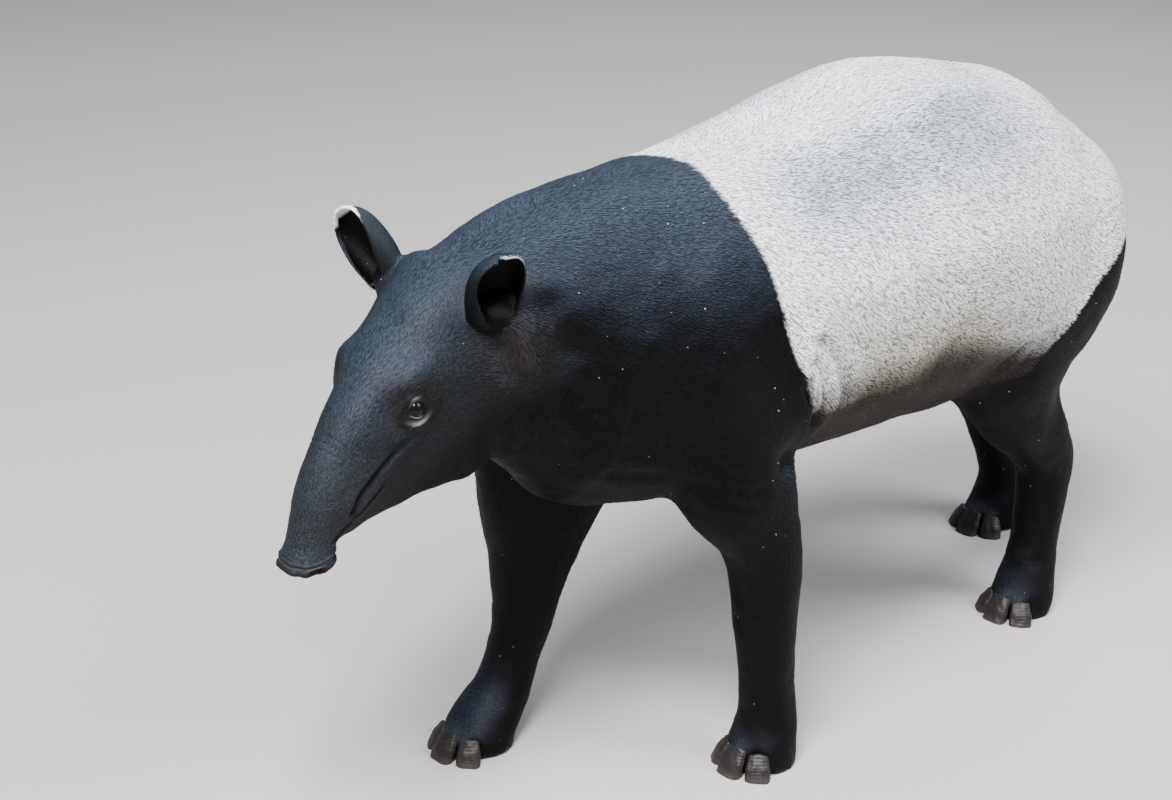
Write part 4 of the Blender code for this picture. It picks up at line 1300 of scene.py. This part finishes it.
def build_coat(skin, sizes, material):
    """Plants every tuft, with sizes by body part, and the flow, tint and dust of each."""
    places = places_of(skin.data)
    head, snout, legs, feet = body_parts(places)
    spacing = sizes.hair_gap * (1.0 - 0.30 * head) * (1.0 - 0.12 * legs)
    spacing *= (1.0 - 0.20 * feet) * (1.0 - 0.15 * snout)
    ears = np.max([on_ear(side, places, 0.02, 0.12) for side in SIGNS], axis=0)
    at, out = skin_samples(skin, spacing * (1.0 - 0.25 * ears), 21)
    sole = (at[:, 2] < 0.012) & (out[:, 2] < -0.5)
    keep = ~hairless(at) & ~sole
    at, out = at[keep], out[keep]
    head, snout, legs, feet = body_parts(at)
    draw = np.random.default_rng(22)
    length = sizes.trunk_hair + legs * (sizes.leg_hair - sizes.trunk_hair)
    length += head * (sizes.head_hair - length)
    length += snout * (sizes.snout_hair - length)
    length *= 1.0 - 0.35 * feet
    for side, hangs in zip(SIGNS, under_ears(at, 0.04)):
        ear = on_ear(side, at, 0.02, 0.15)
        length += ear * (sizes.ear_hair - length)
        # Longer hair hangs below each ear.
        length *= 1.0 + 1.6 * hangs * (1.0 - ear)
    length *= draw.uniform(0.7, 1.25, len(at))
    width = sizes.hair_width * (length / sizes.trunk_hair) ** 0.7
    width *= draw.uniform(0.75, 1.2, len(at))
    lift = length * (0.07 + 0.06 * draw.random(len(at)) ** 2)
    # One tuft in seven is much darker than the rest, and about one in 900 is short and dusty.
    tint = draw.beta(3.0, 3.0, len(at)) * np.where(draw.random(len(at)) < 0.14, 0.25, 1.0)
    dust = 0.4 * (draw.random(len(at)) < 0.0011 * (1.0 - 0.6 * head))
    length *= 1.0 - 1.7 * dust
    grown = (at, out, coat_flow(at, out, 23), length, width, lift, tint, dust)
    region = coat_region(at)
    for name in sorted(set(region)):
        here = region == name
        pale = name.startswith(("coat_saddle", "coat_rump"))
        slot = "white_hide" if pale else "black_hide"
        plant_tufts(name, *(values[here] for values in grown), material, slot)


class TAPIR_OT_skin(bpy.types.Operator):
    """Make one skin over the whole animal, with lids, mouth, nostrils, folds and ears"""

    bl_idname = "tapir.skin"
    bl_label = "Skin"

    def execute(self, context):
        skin = build_skin(context.scene.tapir_sizes)
        skin.data.materials.clear()
        skin.data.materials.append(hide_material(context.scene.tapir_colours))
        skin.data.polygons.foreach_set("material_index", [0] * len(skin.data.polygons))
        return {"FINISHED"}


class TAPIR_OT_eyes(bpy.types.Operator):
    """Make the two wet eyeballs"""

    bl_idname = "tapir.eyes"
    bl_label = "Eyes"

    def execute(self, context):
        material = eye_material(context.scene.tapir_colours)
        for side in EYE_CENTRES:
            deselect()
            build_eye(side, material)
        return {"FINISHED"}


class TAPIR_OT_hooves(bpy.types.Operator):
    """Make the hooves, one on every toe"""

    bl_idname = "tapir.hooves"
    bl_label = "Hooves"

    def execute(self, context):
        material = horn_material(context.scene.tapir_colours)
        for node in sorted(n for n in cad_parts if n.startswith("hoof_")):
            build_hoof(node, material)
        return {"FINISHED"}


class TAPIR_OT_coat(bpy.types.Operator):
    """Plant the short, flat coat over the skin"""

    bl_idname = "tapir.coat"
    bl_label = "Coat"

    def execute(self, context):
        material = hair_material(context.scene.tapir_colours)
        build_coat(bpy.data.objects["skin"], context.scene.tapir_sizes, material)
        return {"FINISHED"}


class TAPIR_OT_stage(bpy.types.Operator):
    """Set the camera, the pale floor and the soft studio lights"""

    bl_idname = "tapir.stage"
    bl_label = "Studio"

    def execute(self, context):
        build_stage(context.scene.tapir_colours)
        return {"FINISHED"}


# The camera: its turn, height angle and roll in degrees, its distance and what it looks at.
VIEW_TURN = 48.0
VIEW_HEIGHT = 22.0
VIEW_ROLL = 0.5
VIEW_DISTANCE = 3.35
VIEW_TARGET = Vector((-0.0001, -0.3597, 0.63))
IMAGE_WIDTH = 1172
FOCAL_PIXELS = 2200.0
SENSOR_MM = 36.0


def build_camera():
    turn, height = math.radians(VIEW_TURN), math.radians(VIEW_HEIGHT)
    level = math.cos(height)
    back = Vector((math.sin(turn) * level, -math.cos(turn) * level, math.sin(height)))
    right = Vector((math.cos(turn), math.sin(turn), 0.0))
    axes = Matrix((right, back.cross(right), back)).transposed()
    data = bpy.data.cameras.new("camera")
    data.sensor_width = SENSOR_MM
    data.lens = SENSOR_MM * FOCAL_PIXELS / IMAGE_WIDTH
    data.clip_end = 200.0
    camera = link_object("camera", data)
    roll = Matrix.Rotation(math.radians(VIEW_ROLL), 3, "Z")
    place = Matrix.Translation(VIEW_TARGET + back * VIEW_DISTANCE)
    camera.matrix_world = place @ (axes @ roll).to_4x4()
    bpy.context.scene.camera = camera


def build_stage(colours):
    build_camera()
    deselect()
    bpy.ops.mesh.primitive_plane_add(size=60.0, location=(0.0, 0.0, 0.0))
    floor = bpy.context.active_object
    floor.name = "studio_floor"
    made, _, shader = new_material("studio_floor")
    shader.inputs["Base Color"].default_value = (*colours.floor, 1.0)
    set_inputs(shader, Roughness=0.85)
    floor.data.materials.append(made)
    aim = Vector((0.0, -0.1, 0.5))
    for name, place, size, watts, code in (
        # name, place, size in metres, watts and colour
        ("key", (1.7, -2.9, 5.4), 2.2, 1400.0, "#fcfcff"),
        ("fill", (3.4, 1.8, 4.8), 2.6, 460.0, "#f4f7ff"),
        ("back", (-1.8, 3.6, 4.6), 2.4, 180.0, "#e6eefc"),
    ):
        data = bpy.data.lights.new(name, "AREA")
        data.size = size
        data.energy = watts
        data.color = srgb(code)
        light = link_object(name, data)
        light.location = place
        light.rotation_euler = (aim - Vector(place)).to_track_quat("-Z", "Y").to_euler()
    world = bpy.data.worlds.new("studio")
    world.use_nodes = True
    sky = world.node_tree.nodes["Background"]
    sky.inputs["Color"].default_value = (*srgb("#dfe3e8"), 1.0)
    sky.inputs["Strength"].default_value = 0.42
    bpy.context.scene.world = world


class TAPIR_PT_panel(bpy.types.Panel):
    """The tapir's pieces, sizes and colours"""

    bl_idname = "TAPIR_PT_panel"
    bl_label = "Malayan Tapir"
    bl_space_type = "VIEW_3D"
    bl_region_type = "UI"
    bl_category = "Tapir"

    def draw(self, context):
        for made in OPERATORS:
            self.layout.operator(made.bl_idname)
        for group in (context.scene.tapir_sizes, context.scene.tapir_colours):
            for key in group.bl_rna.properties.keys():
                if key not in ("rna_type", "name"):
                    self.layout.prop(group, key)


OPERATORS = (TAPIR_OT_skin, TAPIR_OT_eyes, TAPIR_OT_hooves, TAPIR_OT_coat, TAPIR_OT_stage)
CLASSES = (TapirSizes, TapirColours, *OPERATORS, TAPIR_PT_panel)


def register():
    for made in CLASSES:
        bpy.utils.register_class(made)
    bpy.types.Scene.tapir_sizes = bpy.props.PointerProperty(type=TapirSizes)
    bpy.types.Scene.tapir_colours = bpy.props.PointerProperty(type=TapirColours)


def unregister():
    del bpy.types.Scene.tapir_colours
    del bpy.types.Scene.tapir_sizes
    for made in reversed(CLASSES):
        bpy.utils.unregister_class(made)


def main():
    register()
    deselect()
    bpy.ops.tapir.skin()
    bpy.ops.tapir.eyes()
    bpy.ops.tapir.hooves()
    bpy.ops.tapir.coat()
    bpy.ops.tapir.stage()


if __name__ == "__main__":
    main()
